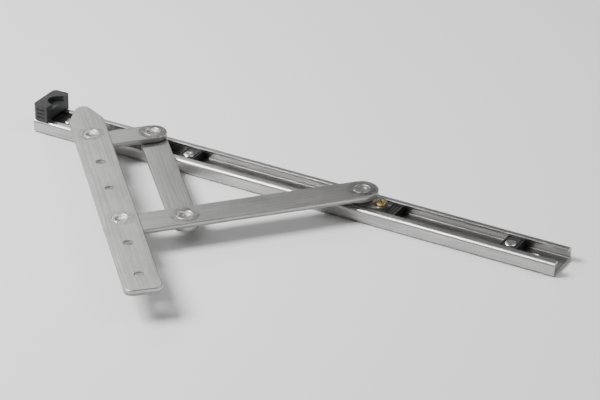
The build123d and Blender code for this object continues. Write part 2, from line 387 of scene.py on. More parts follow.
def weld(obj: Thing, reach: float) -> Thing:
    """Merge an object's points that are nearer than a reach, and dissolve the slivers between them.

    Args:
        obj: the object.
        reach: the shortest edge that stays.

    Returns:
        The same object.
    """
    work = bmesh.new()
    work.from_mesh(obj.data)
    bmesh.ops.remove_doubles(work, verts=work.verts, dist=reach)
    bmesh.ops.dissolve_degenerate(work, edges=work.edges, dist=reach)
    bmesh.ops.delete(work, geom=[edge for edge in work.edges if edge.is_wire], context="EDGES")
    work.to_mesh(obj.data)
    work.free()
    return obj


def round_edges(obj: Thing, radius: float, clamp: bool = True) -> Thing:
    """Round an object's sharp edges.

    Args:
        obj: the object.
        radius: how far the round reaches along each face.
        clamp: true where short edges make every round smaller.

    Returns:
        The same object, settled and shaded.
    """
    weld(obj, 0.02 * MM)
    bevel = obj.modifiers.new("edge_round", "BEVEL")
    bevel.width = radius
    bevel.segments = 4
    bevel.use_clamp_overlap = clamp
    bevel.loop_slide = clamp
    bevel.limit_method = "ANGLE"
    bevel.angle_limit = math.radians(SHARP_ANGLE)
    bevel.miter_outer = "MITER_ARC"
    return shade(weld(settle(obj), 0.002 * MM))


class Boolean(Enum):
    """What is done with solids that meet a base solid."""

    ADD = "UNION"
    CUT = "DIFFERENCE"


def combine(base: Thing, others: Sequence[Thing], how: Boolean) -> Thing:
    """Join solids to a base solid or cut them from it.

    Args:
        base: the solid that is changed.
        others: the solids that are used up.
        how: whether they are added or cut.

    Returns:
        The base.
    """
    for other in others:
        change = base.modifiers.new("combine", "BOOLEAN")
        change.operation = how.value
        change.object = other
        change.solver = "EXACT"
    settle(base)
    for other in others:
        bpy.data.objects.remove(other)
    return base


def join(parts: Sequence[Thing], name: str) -> Thing:
    """Join meshes into one object.

    Args:
        parts: the objects, which are used up.
        name: the new object's name.

    Returns:
        The new object.
    """
    work = bmesh.new()
    for part in parts:
        work.from_mesh(part.data)
        bpy.data.objects.remove(part)
    mesh = bpy.data.meshes.new(name)
    work.to_mesh(mesh)
    work.free()
    return shade(link(bpy.data.objects.new(name, mesh)))


# ---- Node trees ----


class Graph:
    """Adds nodes to a tree, sets their inputs and links them."""

    def __init__(self, tree: bpy.types.NodeTree) -> None:
        """Work on a tree that is emptied first."""
        self.tree = tree
        tree.nodes.clear()

    def add(self, kind: str, inputs: dict[int | str, Any] | None = None, **settings: Any) -> bpy.types.Node:
        """Add a node.

        Args:
            kind: the node's type.
            inputs: a value or another node's output for each named or numbered input.
            settings: the node's own properties.

        Returns:
            The node.
        """
        node = self.tree.nodes.new(kind)
        for key, value in settings.items():
            setattr(node, key, value)
        for key, value in (inputs or {}).items():
            self.feed(node.inputs[key], value)
        return node

    def out(self, kind: str, inputs: dict[int | str, Any] | None = None, **settings: Any) -> Socket:
        """Add a node and return its first output."""
        return self.add(kind, inputs, **settings).outputs[0]

    def feed(self, socket: Socket, value: Any) -> None:
        """Link an output to an input, or set the input's value."""
        if isinstance(value, Socket):
            self.tree.links.new(value, socket)
        else:
            socket.default_value = value

    def math(self, operation: str, first: Any, second: Any = 0.0, third: Any = 0.0) -> Socket:
        """Add a Math node and return its output."""
        return self.out("ShaderNodeMath", {0: first, 1: second, 2: third}, operation=operation)

    def times(self, first: Any, second: Any) -> Socket:
        """Return the product of two values."""
        return self.math("MULTIPLY", first, second)

    def plus(self, base: Any, value: Any, factor: Any) -> Socket:
        """Return a base value plus another one times a factor."""
        return self.math("MULTIPLY_ADD", value, factor, base)

    def vector(self, operation: str, first: Any, second: Any = (0.0, 0.0, 0.0)) -> Socket:
        """Add a Vector Math node and return its vector."""
        return self.out("ShaderNodeVectorMath", {0: first, 1: second}, operation=operation)

    def xyz(self, x: Any = 0.0, y: Any = 0.0, z: Any = 0.0) -> Socket:
        """Return a vector of three values."""
        return self.out("ShaderNodeCombineXYZ", {0: x, 1: y, 2: z})

    def level(self, place: Any) -> Socket:
        """Return a vector without its height."""
        return self.vector("MULTIPLY", place, (1.0, 1.0, 0.0))

    def reach(self, place: Any) -> Socket:
        """Return a place's distance from the upright line through the origin."""
        return self.add("ShaderNodeVectorMath", {0: self.level(place)}, operation="LENGTH").outputs["Value"]

    def step(self, value: Any, low: float, high: float, start: float = 0.0, end: float = 1.0) -> Socket:
        """Map a value smoothly: start at and under low, end at and over high."""
        inputs = {"Value": value, "From Min": low, "From Max": high, "To Min": start, "To Max": end}
        return self.out("ShaderNodeMapRange", inputs, interpolation_type="SMOOTHSTEP")

    def mix(self, share: Any, first: Any, second: Any) -> Socket:
        """Mix two colours and return the result."""
        return self.add("ShaderNodeMix", {0: share, 6: first, 7: second}, data_type="RGBA").outputs[2]

    def noise(self, place: Any, scale: float, detail: float = 2.0, roughness: float = 0.5) -> Socket:
        """Add a noise texture and return its value."""
        inputs = {"Vector": place, "Scale": scale, "Detail": detail, "Roughness": roughness}
        return self.out("ShaderNodeTexNoise", inputs)


class GeometryTree:
    """A geometry node tree with named inputs."""

    def __init__(self, name: str, inputs: Sequence[tuple[str, str, Any]]) -> None:
        """Make the tree's inputs and its geometry output.

        Args:
            name: the tree's name.
            inputs: name, socket type and first value of each input between the geometry and the material.
        """
        self.tree = bpy.data.node_groups.new(name, "GeometryNodeTree")
        self.graph = Graph(self.tree)
        face = self.tree.interface
        face.new_socket("Geometry", in_out="INPUT", socket_type="NodeSocketGeometry")
        for label, kind, value in inputs:
            face.new_socket(label, in_out="INPUT", socket_type=f"NodeSocket{kind}").default_value = value
        face.new_socket("Material", in_out="INPUT", socket_type="NodeSocketMaterial")
        face.new_socket("Geometry", in_out="OUTPUT", socket_type="NodeSocketGeometry")
        self.source = self.graph.add("NodeGroupInput").outputs

    def moved(self, piece: Any, place: Any, turn: Sequence[float] = (0.0, 0.0, 0.0)) -> Socket:
        """Return geometry turned and then moved."""
        move = {"Geometry": piece, "Translation": place, "Rotation": turn}
        return self.graph.out("GeometryNodeTransform", move)

    def closed(self, face: Any, grown: Any) -> Socket:
        """Return what was extruded from a face as a closed solid, with the face as its back.

        Args:
            face: the flat face at the start.
            grown: the mesh that was extruded from it.

        Returns:
            The solid.
        """
        both = self.graph.add("GeometryNodeJoinGeometry")
        for part in (self.graph.out("GeometryNodeFlipFaces", {0: face}), grown):
            self.tree.links.new(part, both.inputs[0])
        return self.graph.out("GeometryNodeMergeByDistance", {"Geometry": both.outputs[0], "Distance": 1e-6})

    def rounded_bar(self, width: Any, height: Any, bend: dict[str, Any], length: Any) -> Socket:
        """Return a bar of rounded rectangular section that stands on the origin.

        Args:
            width: the section's X side.
            height: its Y side.
            bend: the inputs of the node that rounds its corners.
            length: the bar's length.

        Returns:
            The bar.
        """
        g = self.graph
        flat = g.out("GeometryNodeCurvePrimitiveQuadrilateral", {"Width": width, "Height": height})
        bent = g.out("GeometryNodeFilletCurve", {"Curve": flat, **bend}, mode="POLY")
        face = g.out("GeometryNodeFillCurve", {"Curve": bent}, mode="NGONS")
        run = {"Mesh": face, "Offset": (0.0, 0.0, 1.0), "Offset Scale": length}
        return self.closed(face, g.out("GeometryNodeExtrudeMesh", run))

    def copies(self, points: Any, piece: Any, **more: Any) -> Socket:
        """Return instances of a piece on points."""
        return self.graph.out("GeometryNodeInstanceOnPoints", {"Points": points, "Instance": piece, **more})

    def row(self, piece: Any, count: Any, start: Any, step: Any) -> Socket:
        """Return a row of a piece's copies as one mesh.

        Args:
            piece: what is repeated.
            count: how many there are.
            start: the first one's place.
            step: from one to the next.

        Returns:
            The row.
        """
        line = {"Count": count, "Start Location": start, "Offset": step}
        line = self.graph.out("GeometryNodeMeshLine", line, mode="OFFSET")
        return self.graph.out("GeometryNodeRealizeInstances", {0: self.copies(line, piece)})

    def close(self, geometry: Socket) -> "GeometryTree":
        """End the tree in Realize Instances and Set Material, and return it."""
        real = self.graph.out("GeometryNodeRealizeInstances", {0: geometry})
        paint = {"Geometry": real, "Material": self.source["Material"]}
        self.graph.add("NodeGroupOutput", {0: self.graph.out("GeometryNodeSetMaterial", paint)})
        return self

    def run(self, name: str, points: Sequence[Vector], values: dict[str, Any]) -> Thing:
        """Run the tree on a few points and take the result into a plain mesh.

        Args:
            name: the new object's name.
            points: the vertices that the tree starts from.
            values: a value for each input that isn't left as it is.

        Returns:
            The object, with no modifiers.
        """
        mesh = bpy.data.meshes.new(name)
        mesh.from_pydata([tuple(p) for p in points], [], [])
        obj = bpy.data.objects.new(name, mesh)
        modifier = obj.modifiers.new(name, "NODES")
        modifier.node_group = self.tree
        for item in self.tree.interface.items_tree:
            if item.in_out == "INPUT" and item.name in values:
                modifier[item.identifier] = values[item.name]
        return settle(link(obj))


CONE_REACH = 1.5  # a countersink's cutter stands this much higher than the countersink
CHANNEL_SIZES = (
    "Length", "Width", "Height", "Wall", "Slot", "Outer Bend", "Inner Bend", "Hole Radius",
    "Countersink Radius", "Countersink Depth", "First Hole", "Hole Pitch", "Slot Length", "Pivot Hole",
    "Pivot Place",
)


def rolled_channel_tree() -> GeometryTree:
    """Build the tree of a rolled channel: a lipped section, round holes with countersinks, and slots.

    Returns:
        The tree. It needs no points.
    """
    tree = GeometryTree("rolled_channel", [(size, "Float", 0.01) for size in CHANNEL_SIZES])
    g, source = tree.graph, tree.source
    over, walls = g.times(source["Wall"], 3), g.times(source["Wall"], 2)
    long = g.math("ADD", source["Length"], over)

    def lying_bar(width: Any, height: Any, bend: Any, length: Any) -> Socket:
        """Return a bar of rounded rectangular section along X, centred on the channel."""
        bar = tree.rounded_bar(width, height, {"Radius": bend, "Count": 8}, length)
        place = g.xyz(g.times(length, -0.5), 0.0, g.times(source["Height"], 0.5))
        return tree.moved(bar, place, (math.pi / 2, 0.0, math.pi / 2))

    def along_track(piece: Any, first: Any, count: int) -> Socket:
        """Return copies of a cutter at the hole pitch along the track."""
        return tree.row(piece, count, g.xyz(first), g.xyz(source["Hole Pitch"]))

    outer = lying_bar(source["Width"], source["Height"], source["Outer Bend"], source["Length"])
    sides = [g.math("SUBTRACT", source[side], walls) for side in ("Width", "Height")]
    inner = lying_bar(*sides, source["Inner Bend"], long)
    mouth = g.out("GeometryNodeMeshCube", {"Size": g.xyz(long, source["Slot"], over)})
    mouth = tree.moved(mouth, g.xyz(0.0, 0.0, source["Height"]))
    drill = {"Vertices": 64, "Radius": source["Hole Radius"], "Depth": over}
    bore = g.out("GeometryNodeMeshCylinder", drill)
    pivot = g.out("GeometryNodeMeshCylinder", {**drill, "Radius": source["Pivot Hole"]})
    pivot = tree.moved(pivot, g.xyz(source["Pivot Place"]))
    flare = g.math("SUBTRACT", source["Countersink Radius"], source["Hole Radius"])
    cone = {"Vertices": 64, "Radius Bottom": source["Hole Radius"]}
    cone["Radius Top"] = g.plus(source["Hole Radius"], flare, CONE_REACH)
    cone["Depth"] = g.times(source["Countersink Depth"], CONE_REACH)
    sunk = g.math("SUBTRACT", source["Wall"], source["Countersink Depth"])
    cone = tree.moved(g.out("GeometryNodeMeshCone", cone), g.xyz(0.0, 0.0, sunk))
    ends = {"Radius": source["Hole Radius"], "Limit Radius": True, "Count": 16}
    slot = tree.rounded_bar(source["Slot Length"], g.times(source["Hole Radius"], 2), ends, over)
    slot = tree.moved(slot, (0.0, 0.0, -1 * MM))
    first_slot = g.math("ADD", source["First Hole"], g.times(source["Hole Pitch"], 0.5))

    cut = g.add("GeometryNodeMeshBoolean", {0: outer}, operation="DIFFERENCE", solver="EXACT")
    cutters = [inner, mouth, pivot] + [along_track(piece, source["First Hole"], 3) for piece in (bore, cone)]
    for cutter in cutters + [along_track(slot, first_slot, 2)]:
        g.tree.links.new(cutter, cut.inputs[1])
    return tree.close(cut.outputs[0])


class HeadStyle(Enum):
    """How the upper end of a rivet is formed."""

    FLUSH = "flush"
    DOMED = "domed"


@dataclass(frozen=True)
class Ring:
    """One ring of a turned piece: each value is a sum of the tree's inputs times their coefficients."""

    radius: dict[str, float]
    height: dict[str, float]


LOWER_HEAD = (
    Ring({"Head Radius": 1, "Edge Break": -1}, {}),
    Ring({"Head Radius": 1}, {"Edge Break": 0.5}),
    Ring({"Shank Radius": 1}, {"Head Height": 1}),
)
UPPER_HEADS = {
    HeadStyle.FLUSH: (
        Ring({"Shank Radius": 1}, {"Length": 1, "Head Height": -1}),
        Ring({"Head Radius": 1}, {"Length": 1, "Edge Break": -1.4}),
        Ring({"Head Radius": 1, "Edge Break": -0.3}, {"Length": 1, "Edge Break": -0.4}),
        Ring({"Head Radius": 1, "Edge Break": -1}, {"Length": 1}),
        Ring({"Head Radius": 0.66}, {"Length": 1}),
        Ring({"Head Radius": 0.56}, {"Length": 1, "Dish": -0.35}),
        Ring({"Head Radius": 0.42}, {"Length": 1, "Dish": -0.8}),
        Ring({"Head Radius": 0.22}, {"Length": 1, "Dish": -1}),
    ),
    HeadStyle.DOMED: (
        Ring({"Shank Radius": 1}, {"Length": 1, "Dome": -1}),
        Ring({"Head Radius": 1}, {"Length": 1, "Dome": -1}),
        Ring({"Head Radius": 1}, {"Length": 1, "Dome": -0.7}),
        Ring({"Head Radius": 0.93}, {"Length": 1, "Dome": -0.4}),
        Ring({"Head Radius": 0.75}, {"Length": 1, "Dome": -0.14}),
        Ring({"Head Radius": 0.45}, {"Length": 1}),
        Ring({"Head Radius": 0.3}, {"Length": 1, "Dish": -0.7}),
        Ring({"Head Radius": 0.12}, {"Length": 1, "Dish": -1}),
    ),
}
RIVET_SIZES = ("Shank Radius", "Head Radius", "Head Height", "Length", "Edge Break", "Dish", "Dome")


def rivet_tree(style: HeadStyle) -> GeometryTree:
    """Build the tree that puts a rivet on each point, turned by a random angle about its own line.

    Args:
        style: how the upper end is formed.

    Returns:
        The tree. Its points are the lower ends of the rivets.
    """
    inputs = [(size, "Float", 0.001) for size in RIVET_SIZES] + [("Seed", "Int", 7)]
    tree = GeometryTree(f"rivet_{style.value}", inputs)
    g, source = tree.graph, tree.source

    def total(terms: dict[str, float]) -> Socket:
        """Return the sum of inputs times their coefficients."""
        result = g.math("ADD", 0.0, 0.0)
        for label, factor in terms.items():
            result = g.plus(result, source[label], factor)
        return result

    rings = LOWER_HEAD + UPPER_HEADS[style]
    first = {"Vertices": 48, "Radius": total(rings[0].radius)}
    face = g.out("GeometryNodeMeshCircle", first, fill_type="NGON")
    body, top = face, True
    for ring in rings[1:]:
        grow = {"Mesh": body, "Offset Scale": 0.0, "Individual": False, "Selection": top}
        grown = g.add("GeometryNodeExtrudeMesh", grow, mode="FACES")
        top = grown.outputs["Top"]
        outward = g.vector("NORMALIZE", g.level(g.out("GeometryNodeInputPosition")))
        spread = {0: outward, "Scale": total(ring.radius)}
        spread = g.out("ShaderNodeVectorMath", spread, operation="SCALE")
        place = g.vector("ADD", spread, g.xyz(0.0, 0.0, total(ring.height)))
        moved = {"Geometry": grown.outputs[0], "Selection": top, "Position": place}
        body = g.out("GeometryNodeSetPosition", moved)
    radius = g.reach(g.out("GeometryNodeInputPosition"))
    store = {"Geometry": tree.closed(face, body), "Name": SPIN_ATTRIBUTE, "Value": radius}
    marked = g.out("GeometryNodeStoreNamedAttribute", store, data_type="FLOAT", domain="POINT")
    turns = {"Seed": source["Seed"], 3: 2 * math.pi}
    turn = g.add("FunctionNodeRandomValue", turns, data_type="FLOAT").outputs[1]
    return tree.close(tree.copies(source["Geometry"], marked, Rotation=g.xyz(0.0, 0.0, turn)))


def row_tree() -> GeometryTree:
    """Build the tree of a row of blocks, which cut grooves.

    Returns:
        The tree. Its points are the first block of each row.
    """
    inputs = [("Count", "Int", 3), ("Step", "Vector", (0.0,) * 3), ("Block Size", "Vector", (1 * MM,) * 3)]
    tree = GeometryTree("row_of_blocks", inputs)
    block = tree.graph.out("GeometryNodeMeshCube", {"Size": tree.source["Block Size"]})
    row = tree.row(block, tree.source["Count"], (0.0, 0.0, 0.0), tree.source["Step"])
    return tree.close(tree.copies(tree.source["Geometry"], row))


# ---- Finishes ----


def grey(level: float, warm: float = 0.0) -> Colour:
    """Return a grey, warmer where warm is above 0."""
    return (level * (1 + warm), level, level * (1 - warm), 1.0)


def dimmed(colour: Colour, factor: float, lift: float = 0.0) -> Colour:
    """Return a colour times a factor, and raised by a little."""
    return tuple(c * factor + lift for c in colour[:3]) + (1.0,)


class Slot(Enum):
    """The record's material slots."""

    TRACK_STEEL = "track_steel"
    ARM_STEEL = "arm_steel"
    RIVET_STEEL = "rivet_steel"
    ZINC = "slider_zinc"
    BRASS = "brass"
    NYLON = "black_nylon"
    ACETAL = "acetal"


@dataclass(frozen=True)
class Finish:
    """A built material and the slot that it fills."""

    material: Material
    slot: Slot


class Coat:
    """One material in the making: its shader, its patterns, and its colour, roughness and height so far."""

    def __init__(self, name: str, metallic: float, tone: Colour) -> None:
        """Start a material.

        Args:
            name: the material's name.
            metallic: 1 for bare metal and 0 for plastic.
            tone: the colour that it starts from.
        """
        self.material = bpy.data.materials.new(name)
        self.material.use_nodes = True
        self.graph = Graph(self.material.node_tree)
        self.shader = self.graph.add("ShaderNodeBsdfPrincipled", {"Metallic": metallic})
        self.graph.add("ShaderNodeOutputMaterial", {"Surface": self.shader.outputs[0]})
        self.coordinates = self.graph.add("ShaderNodeTexCoord").outputs
        self.place = self.coordinates["Object"]
        self.colour: Any = tone
        self.roughness: Any = 0.5
        self.height: Any = 0.0

    def stretched(self, heading: float, along: float, across: float) -> Socket:
        """Return coordinates that give a pattern a grain, with features to the metre along and across it."""
        turned = self.graph.out("ShaderNodeMapping", {"Vector": self.place, "Rotation": (0.0, 0.0, -heading)})
        return self.graph.out("ShaderNodeMapping", {"Vector": turned, "Scale": (along, across, across)})

    def from_line(self, centre: Point) -> Socket:
        """Return the distance from an upright line."""
        return self.graph.reach(self.graph.vector("SUBTRACT", self.place, (*centre, 0.0)))

    def corners(self, reach: float, low: float, high: float) -> Socket:
        """Return 1 in the piece's own corners, where the ambient occlusion is low, and 0 where it is high: a
        mask of where shade falls, for painting shade into a colour.
        """
        shadow = self.graph.add("ShaderNodeAmbientOcclusion", {"Distance": reach}, only_local=True, samples=6)
        return self.graph.step(shadow.outputs["AO"], low, high, 1.0, 0.0)

    def tint(self, mask: Any, share: float, colour: Any) -> None:
        """Mix a share of another colour in under a mask."""
        weight = mask if share == 1 else self.graph.times(mask, share)
        self.colour = self.graph.mix(weight, self.colour, colour)

    def roughen(self, mask: Any, amount: float) -> None:
        """Add an amount of roughness under a mask."""
        self.roughness = self.graph.plus(self.roughness, mask, amount)

    def emboss(self, mask: Any, amount: float) -> None:
        """Add an amount of height under a mask."""
        self.height = self.graph.plus(self.height, mask, amount)

    def finish(self, depth: float = 0.0) -> Material:
        """Feed the shader and return the material.

        Args:
            depth: how deep the height reaches, or 0 for a flat surface.

        Returns:
            The material.
        """
        self.graph.feed(self.shader.inputs["Base Color"], self.colour)
        self.graph.feed(self.shader.inputs["Roughness"], self.roughness)
        if depth > 0:
            bump = {"Height": self.height, "Distance": depth, "Strength": 1.0}
            self.graph.feed(self.shader.inputs["Normal"], self.graph.out("ShaderNodeBump", bump))
        return self.material


@dataclass(frozen=True)
class RubTrack:
    """A line that a sliding piece has polished along X."""

    start: float  # where it begins along X
    end: float  # where it ends
    half_width: float  # half its width
    top: float  # the highest level that it is on


@dataclass(frozen=True)
class StripSteel:
    """Stainless strip: drawn grain, sheared edges, haze, fine scratches, rings worn by washers and painted
    shade in its corners.
    """

    name: str
    heading: float  # the grain's bearing in radians
    tone: Colour
    low: float  # the strip's lower face
    high: float  # its upper face
    sheared: bool = True  # true where the sides were cut by a press
    pivots: tuple[Point, ...] = ()  # the centres of the worn rings
    rub: RubTrack | None = None  # the line that a slider has polished
    scratches: tuple[Point, ...] = ((0.22, 2300), (-0.35, 2900), (1.1, 2500))  # bearing and pitch
    worn_ring: Point = (4.4 * MM, 7.2 * MM)  # inner and outer radius of each worn ring

    def build(self) -> Material:
        """Make the material."""
        coat = Coat(self.name, 1.0, self.tone)
        g = coat.graph
        fine = g.noise(coat.stretched(self.heading, 220, 11000), 1.0, 2.0, 0.6)
        broad = g.noise(coat.stretched(self.heading, 28, 1500), 1.0, 3.0, 0.6)
        haze = g.step(g.noise(coat.place, 55, 4.0, 0.6), 0.35, 0.72)
        spots = g.step(g.noise(coat.place, 420, 2.0), 0.66, 0.74)
        scratched = self.scratch_mask(coat)
        coat.tint(g.step(broad, 0.36, 0.64), 1, dimmed(self.tone, 0.74))
        coat.tint(haze, 0.4, grey(0.33, 0.02))
        coat.tint(spots, 0.25, grey(0.2, 0.05))
        coat.tint(scratched, 0.35, grey(0.8))
        coat.roughness = g.step(g.plus(g.times(broad, 0.4), fine, 0.6), 0.3, 0.7, 0.25, 0.4)
        coat.roughen(haze, 0.1)
        coat.height = g.plus(g.times(broad, 0.5), fine, 0.7)
        coat.emboss(scratched, -0.5)
        for centre in self.pivots:
            self.wear_ring(coat, centre)
        if self.rub is not None:
            self.wear_line(coat, self.rub)
        if self.sheared:
            self.shear_sides(coat)
        # Painted shade: near black mixed into the strip's colour in its own corners and holes under the
        # ambient occlusion mask, which also roughens them.
        corner_shade = coat.corners(2.5 * MM, 0.35, 0.85)
        coat.tint(corner_shade, 1, grey(0.1, 0.06))
        coat.roughen(corner_shade, 0.2)
        return coat.finish(0.006 * MM)

    def scratch_mask(self, coat: Coat) -> Socket:
        """Return 1 on fine scratches, which come in patches."""
        g = coat.graph
        result: Any = 0.0
        for bearing, pitch in self.scratches:
            lines = {"Vector": coat.stretched(self.heading + bearing, 60, pitch), "Scale": 1.0}
            lines = g.out("ShaderNodeTexNoise", {**lines, "Detail": 0.0, "Distortion": 0.25})
            result = g.math("MAXIMUM", result, g.step(lines, 0.75, 0.785))
        return g.times(result, g.step(g.noise(coat.place, 46, 2.0), 0.52, 0.66))

    def wear_ring(self, coat: Coat, centre: Point) -> None:
        """Darken and polish the ring that a washer has worn about a pivot."""
        g, (inner, outer), soft = coat.graph, self.worn_ring, 0.6 * MM
        radius = coat.from_line(centre)
        rise = g.step(radius, inner - soft, inner + soft)
        fall = g.step(radius, outer - soft, outer + soft, 1.0, 0.0)
        worn = g.times(g.times(rise, fall), g.step(g.noise(coat.place, 210, 3.0), 0.3, 0.65, 0.3, 1.0))
        coat.tint(worn, 0.42, grey(0.17, 0.04))
        coat.roughen(worn, -0.08)

    def wear_line(self, coat: Coat, rub: RubTrack) -> None:
        """Polish the line that a sliding piece follows, and lay its grease on it."""
        g = coat.graph
        x, y, z = g.add("ShaderNodeSeparateXYZ", {0: coat.place}).outputs
        middle, half = (rub.start + rub.end) / 2, (rub.end - rub.start) / 2
        along = g.math("ABSOLUTE", g.math("SUBTRACT", x, middle))
        inside = g.step(along, half - 4 * MM, half + 2 * MM, 1.0, 0.0)
        across = g.step(g.math("ABSOLUTE", y), rub.half_width * 0.8, rub.half_width, 1.0, 0.0)
        floor = g.step(z, rub.top - 0.2 * MM, rub.top + 0.2 * MM, 1.0, 0.0)
        rubbed = g.times(g.times(inside, across), floor)
        grease = g.step(g.noise(coat.stretched(0.0, 22, 300), 1.0, 4.0, 0.6), 0.38, 0.62)
        coat.tint(g.times(rubbed, grease), 0.75, grey(0.09, 0.06))
        coat.roughen(rubbed, -0.07)

    def shear_sides(self, coat: Coat) -> None:
        """Roughen and darken the torn part of the sides that a press has cut."""
        g, thickness = coat.graph, self.high - self.low
        upright = g.add("ShaderNodeSeparateXYZ", {0: coat.coordinates["Normal"]}).outputs[2]
        side = g.step(g.math("ABSOLUTE", upright), 0.25, 0.6, 1.0, 0.0)
        height = g.add("ShaderNodeSeparateXYZ", {0: coat.place}).outputs[2]
        level = g.plus(height, g.noise(coat.place, 900, 2.0), 0.4 * MM)
        torn = g.step(level, self.low + 0.45 * thickness, self.low + 0.62 * thickness, 1.0, 0.0)
        torn = g.times(torn, side)
        streaks = g.noise(g.vector("MULTIPLY", coat.place, (2600.0, 2600.0, 260.0)), 1.0, 2.0)
        coat.tint(torn, 0.6, grey(0.2, 0.02))
        coat.roughen(torn, 0.2)
        coat.emboss(g.times(streaks, side), 1.4)


@dataclass(frozen=True)
class SpunSteel:
    """Riveted or turned steel: rings about the piece's own line, read from its attribute, and painted shade
    in its corners.
    """

    name: str
    tone: Colour
    pitch: float = 0.22 * MM  # the rings' pitch

    def build(self) -> Material:
        """Make the material."""
        coat = Coat(self.name, 1.0, self.tone)
        g = coat.graph
        spin = g.add("ShaderNodeAttribute", attribute_name=SPIN_ATTRIBUTE).outputs["Fac"]
        wobble = g.times(g.noise(coat.place, 500, 2.0), 0.25 * MM)
        rings = g.math("SINE", g.times(g.math("ADD", spin, wobble), 2 * math.pi / self.pitch))
        rings = g.math("MULTIPLY_ADD", rings, 0.5, 0.5)
        pressed = g.step(g.noise(coat.place, 620, 4.0, 0.6), 0.38, 0.7)
        coat.tint(pressed, 0.35, grey(0.36, 0.02))
        coat.tint(rings, 0.2, grey(0.28))
        # Painted shade: near black mixed in under the ambient occlusion mask in the piece's own corners.
        coat.tint(coat.corners(1.2 * MM, 0.4, 0.9), 1, grey(0.09, 0.05))
        coat.roughness = g.math("MULTIPLY_ADD", rings, 0.08, 0.2)
        coat.roughen(pressed, 0.14)
        coat.height = g.times(rings, 0.3)
        coat.emboss(pressed, 0.35)
        return coat.finish(0.01 * MM)


@dataclass(frozen=True)
class CastZinc:
    """Die-cast zinc: a dull, slightly pitted skin with brighter rubbed places, and painted shade in its
    corners.
    """

    name: str
    tone: Colour

    def build(self) -> Material:
        """Make the material."""
        coat = Coat(self.name, 1.0, self.tone)
        g = coat.graph
        skin = g.noise(coat.place, 2600, 4.0, 0.65)
        flow = g.step(g.noise(coat.place, 160, 3.0), 0.35, 0.68)
        pits = g.step(g.noise(coat.place, 1300, 1.0), 0.7, 0.78)
        coat.tint(flow, 0.6, grey(0.3, 0.01))
        coat.tint(pits, 0.6, grey(0.12))
        # Painted shade: near black mixed in under the ambient occlusion mask in the piece's own corners.
        coat.tint(coat.corners(1.5 * MM, 0.4, 0.9), 1, grey(0.08, 0.06))
        coat.roughness = g.step(g.plus(g.times(flow, 0.5), skin, 0.5), 0.3, 0.7, 0.34, 0.56)
        coat.height = g.math("SUBTRACT", skin, pits)
        return coat.finish(0.02 * MM)


@dataclass(frozen=True)
class TurnedBrass:
    """Machined brass with a little tarnish, and painted shade in its corners in the tarnish's colour."""

    name: str
    centre: Point  # the turning's line
    bright: Colour = (0.80, 0.60, 0.28, 1.0)  # the clean metal's colour
    dull: Colour = (0.36, 0.25, 0.11, 1.0)  # the colour of the tarnish, and of the shade painted in the corners
    pitch: float = 0.16 * MM  # the tool marks' pitch

    def build(self) -> Material:
        """Make the material."""
        coat = Coat(self.name, 1.0, self.bright)
        g = coat.graph
        cuts = g.math("SINE", g.times(coat.from_line(self.centre), 2 * math.pi / self.pitch))
        cuts = g.math("MULTIPLY_ADD", cuts, 0.5, 0.5)
        tarnish_and_shade = g.step(g.noise(coat.place, 700, 4.0, 0.6), 0.4, 0.68)
        # The mask takes in the ambient occlusion corners too: there the dull colour is painted shade, and
        # elsewhere it is tarnish.
        tarnish_and_shade = g.math("MAXIMUM", tarnish_and_shade, coat.corners(1.0 * MM, 0.4, 0.95))
        coat.tint(tarnish_and_shade, 1, self.dull)
        coat.roughness = g.math("MULTIPLY_ADD", cuts, 0.06, 0.2)
        coat.roughen(tarnish_and_shade, 0.22)
        coat.height = cuts
        return coat.finish(0.006 * MM)


@dataclass(frozen=True)
class MouldedPlastic:
    """Moulded plastic: a spark-eroded grain, flow marks, scuffs, and corners mixed to half the tone plus a
    little grey: dust on black, painted shade on a pale tone.
    """

    name: str
    tone: Colour
    scuff: Colour  # the colour of rubbed places
    grain: float = 2400.0  # the grain's features to the metre
    rough: float = 0.42  # the lowest roughness
    glow: float = 0.0  # how much light goes into the plastic

    def build(self) -> Material:
        """Make the material."""
        coat = Coat(self.name, 0.0, self.tone)
        g = coat.graph
        grain = g.noise(coat.place, self.grain, 2.0, 0.5)
        flow = g.step(g.noise(coat.place, 130, 3.0), 0.35, 0.65)
        scuffs = g.step(g.noise(coat.stretched(0.6, 120, 1800), 1.0, 2.0), 0.6, 0.74)
        scuffs = g.times(scuffs, g.step(g.noise(coat.place, 90, 1.0), 0.48, 0.6))
        coat.tint(flow, 0.4, dimmed(self.tone, 0.7))
        coat.tint(scuffs, 0.5, self.scuff)
        # Under the ambient occlusion mask the corners get half the tone plus a little grey: lighter dust on
        # the black nylon, painted shade on the pale acetal.
        coat.tint(coat.corners(2.0 * MM, 0.3, 0.85), 1, dimmed(self.tone, 0.5, 0.02))
        coat.roughness = g.math("MULTIPLY_ADD", flow, 0.08, self.rough)
        coat.roughen(grain, 0.12)
        coat.roughen(scuffs, 0.15)
        coat.height = grain
        coat.shader.inputs["Subsurface Weight"].default_value = self.glow
        coat.shader.inputs["Subsurface Scale"].default_value = 0.6 * MM
        return coat.finish(0.015 * MM)


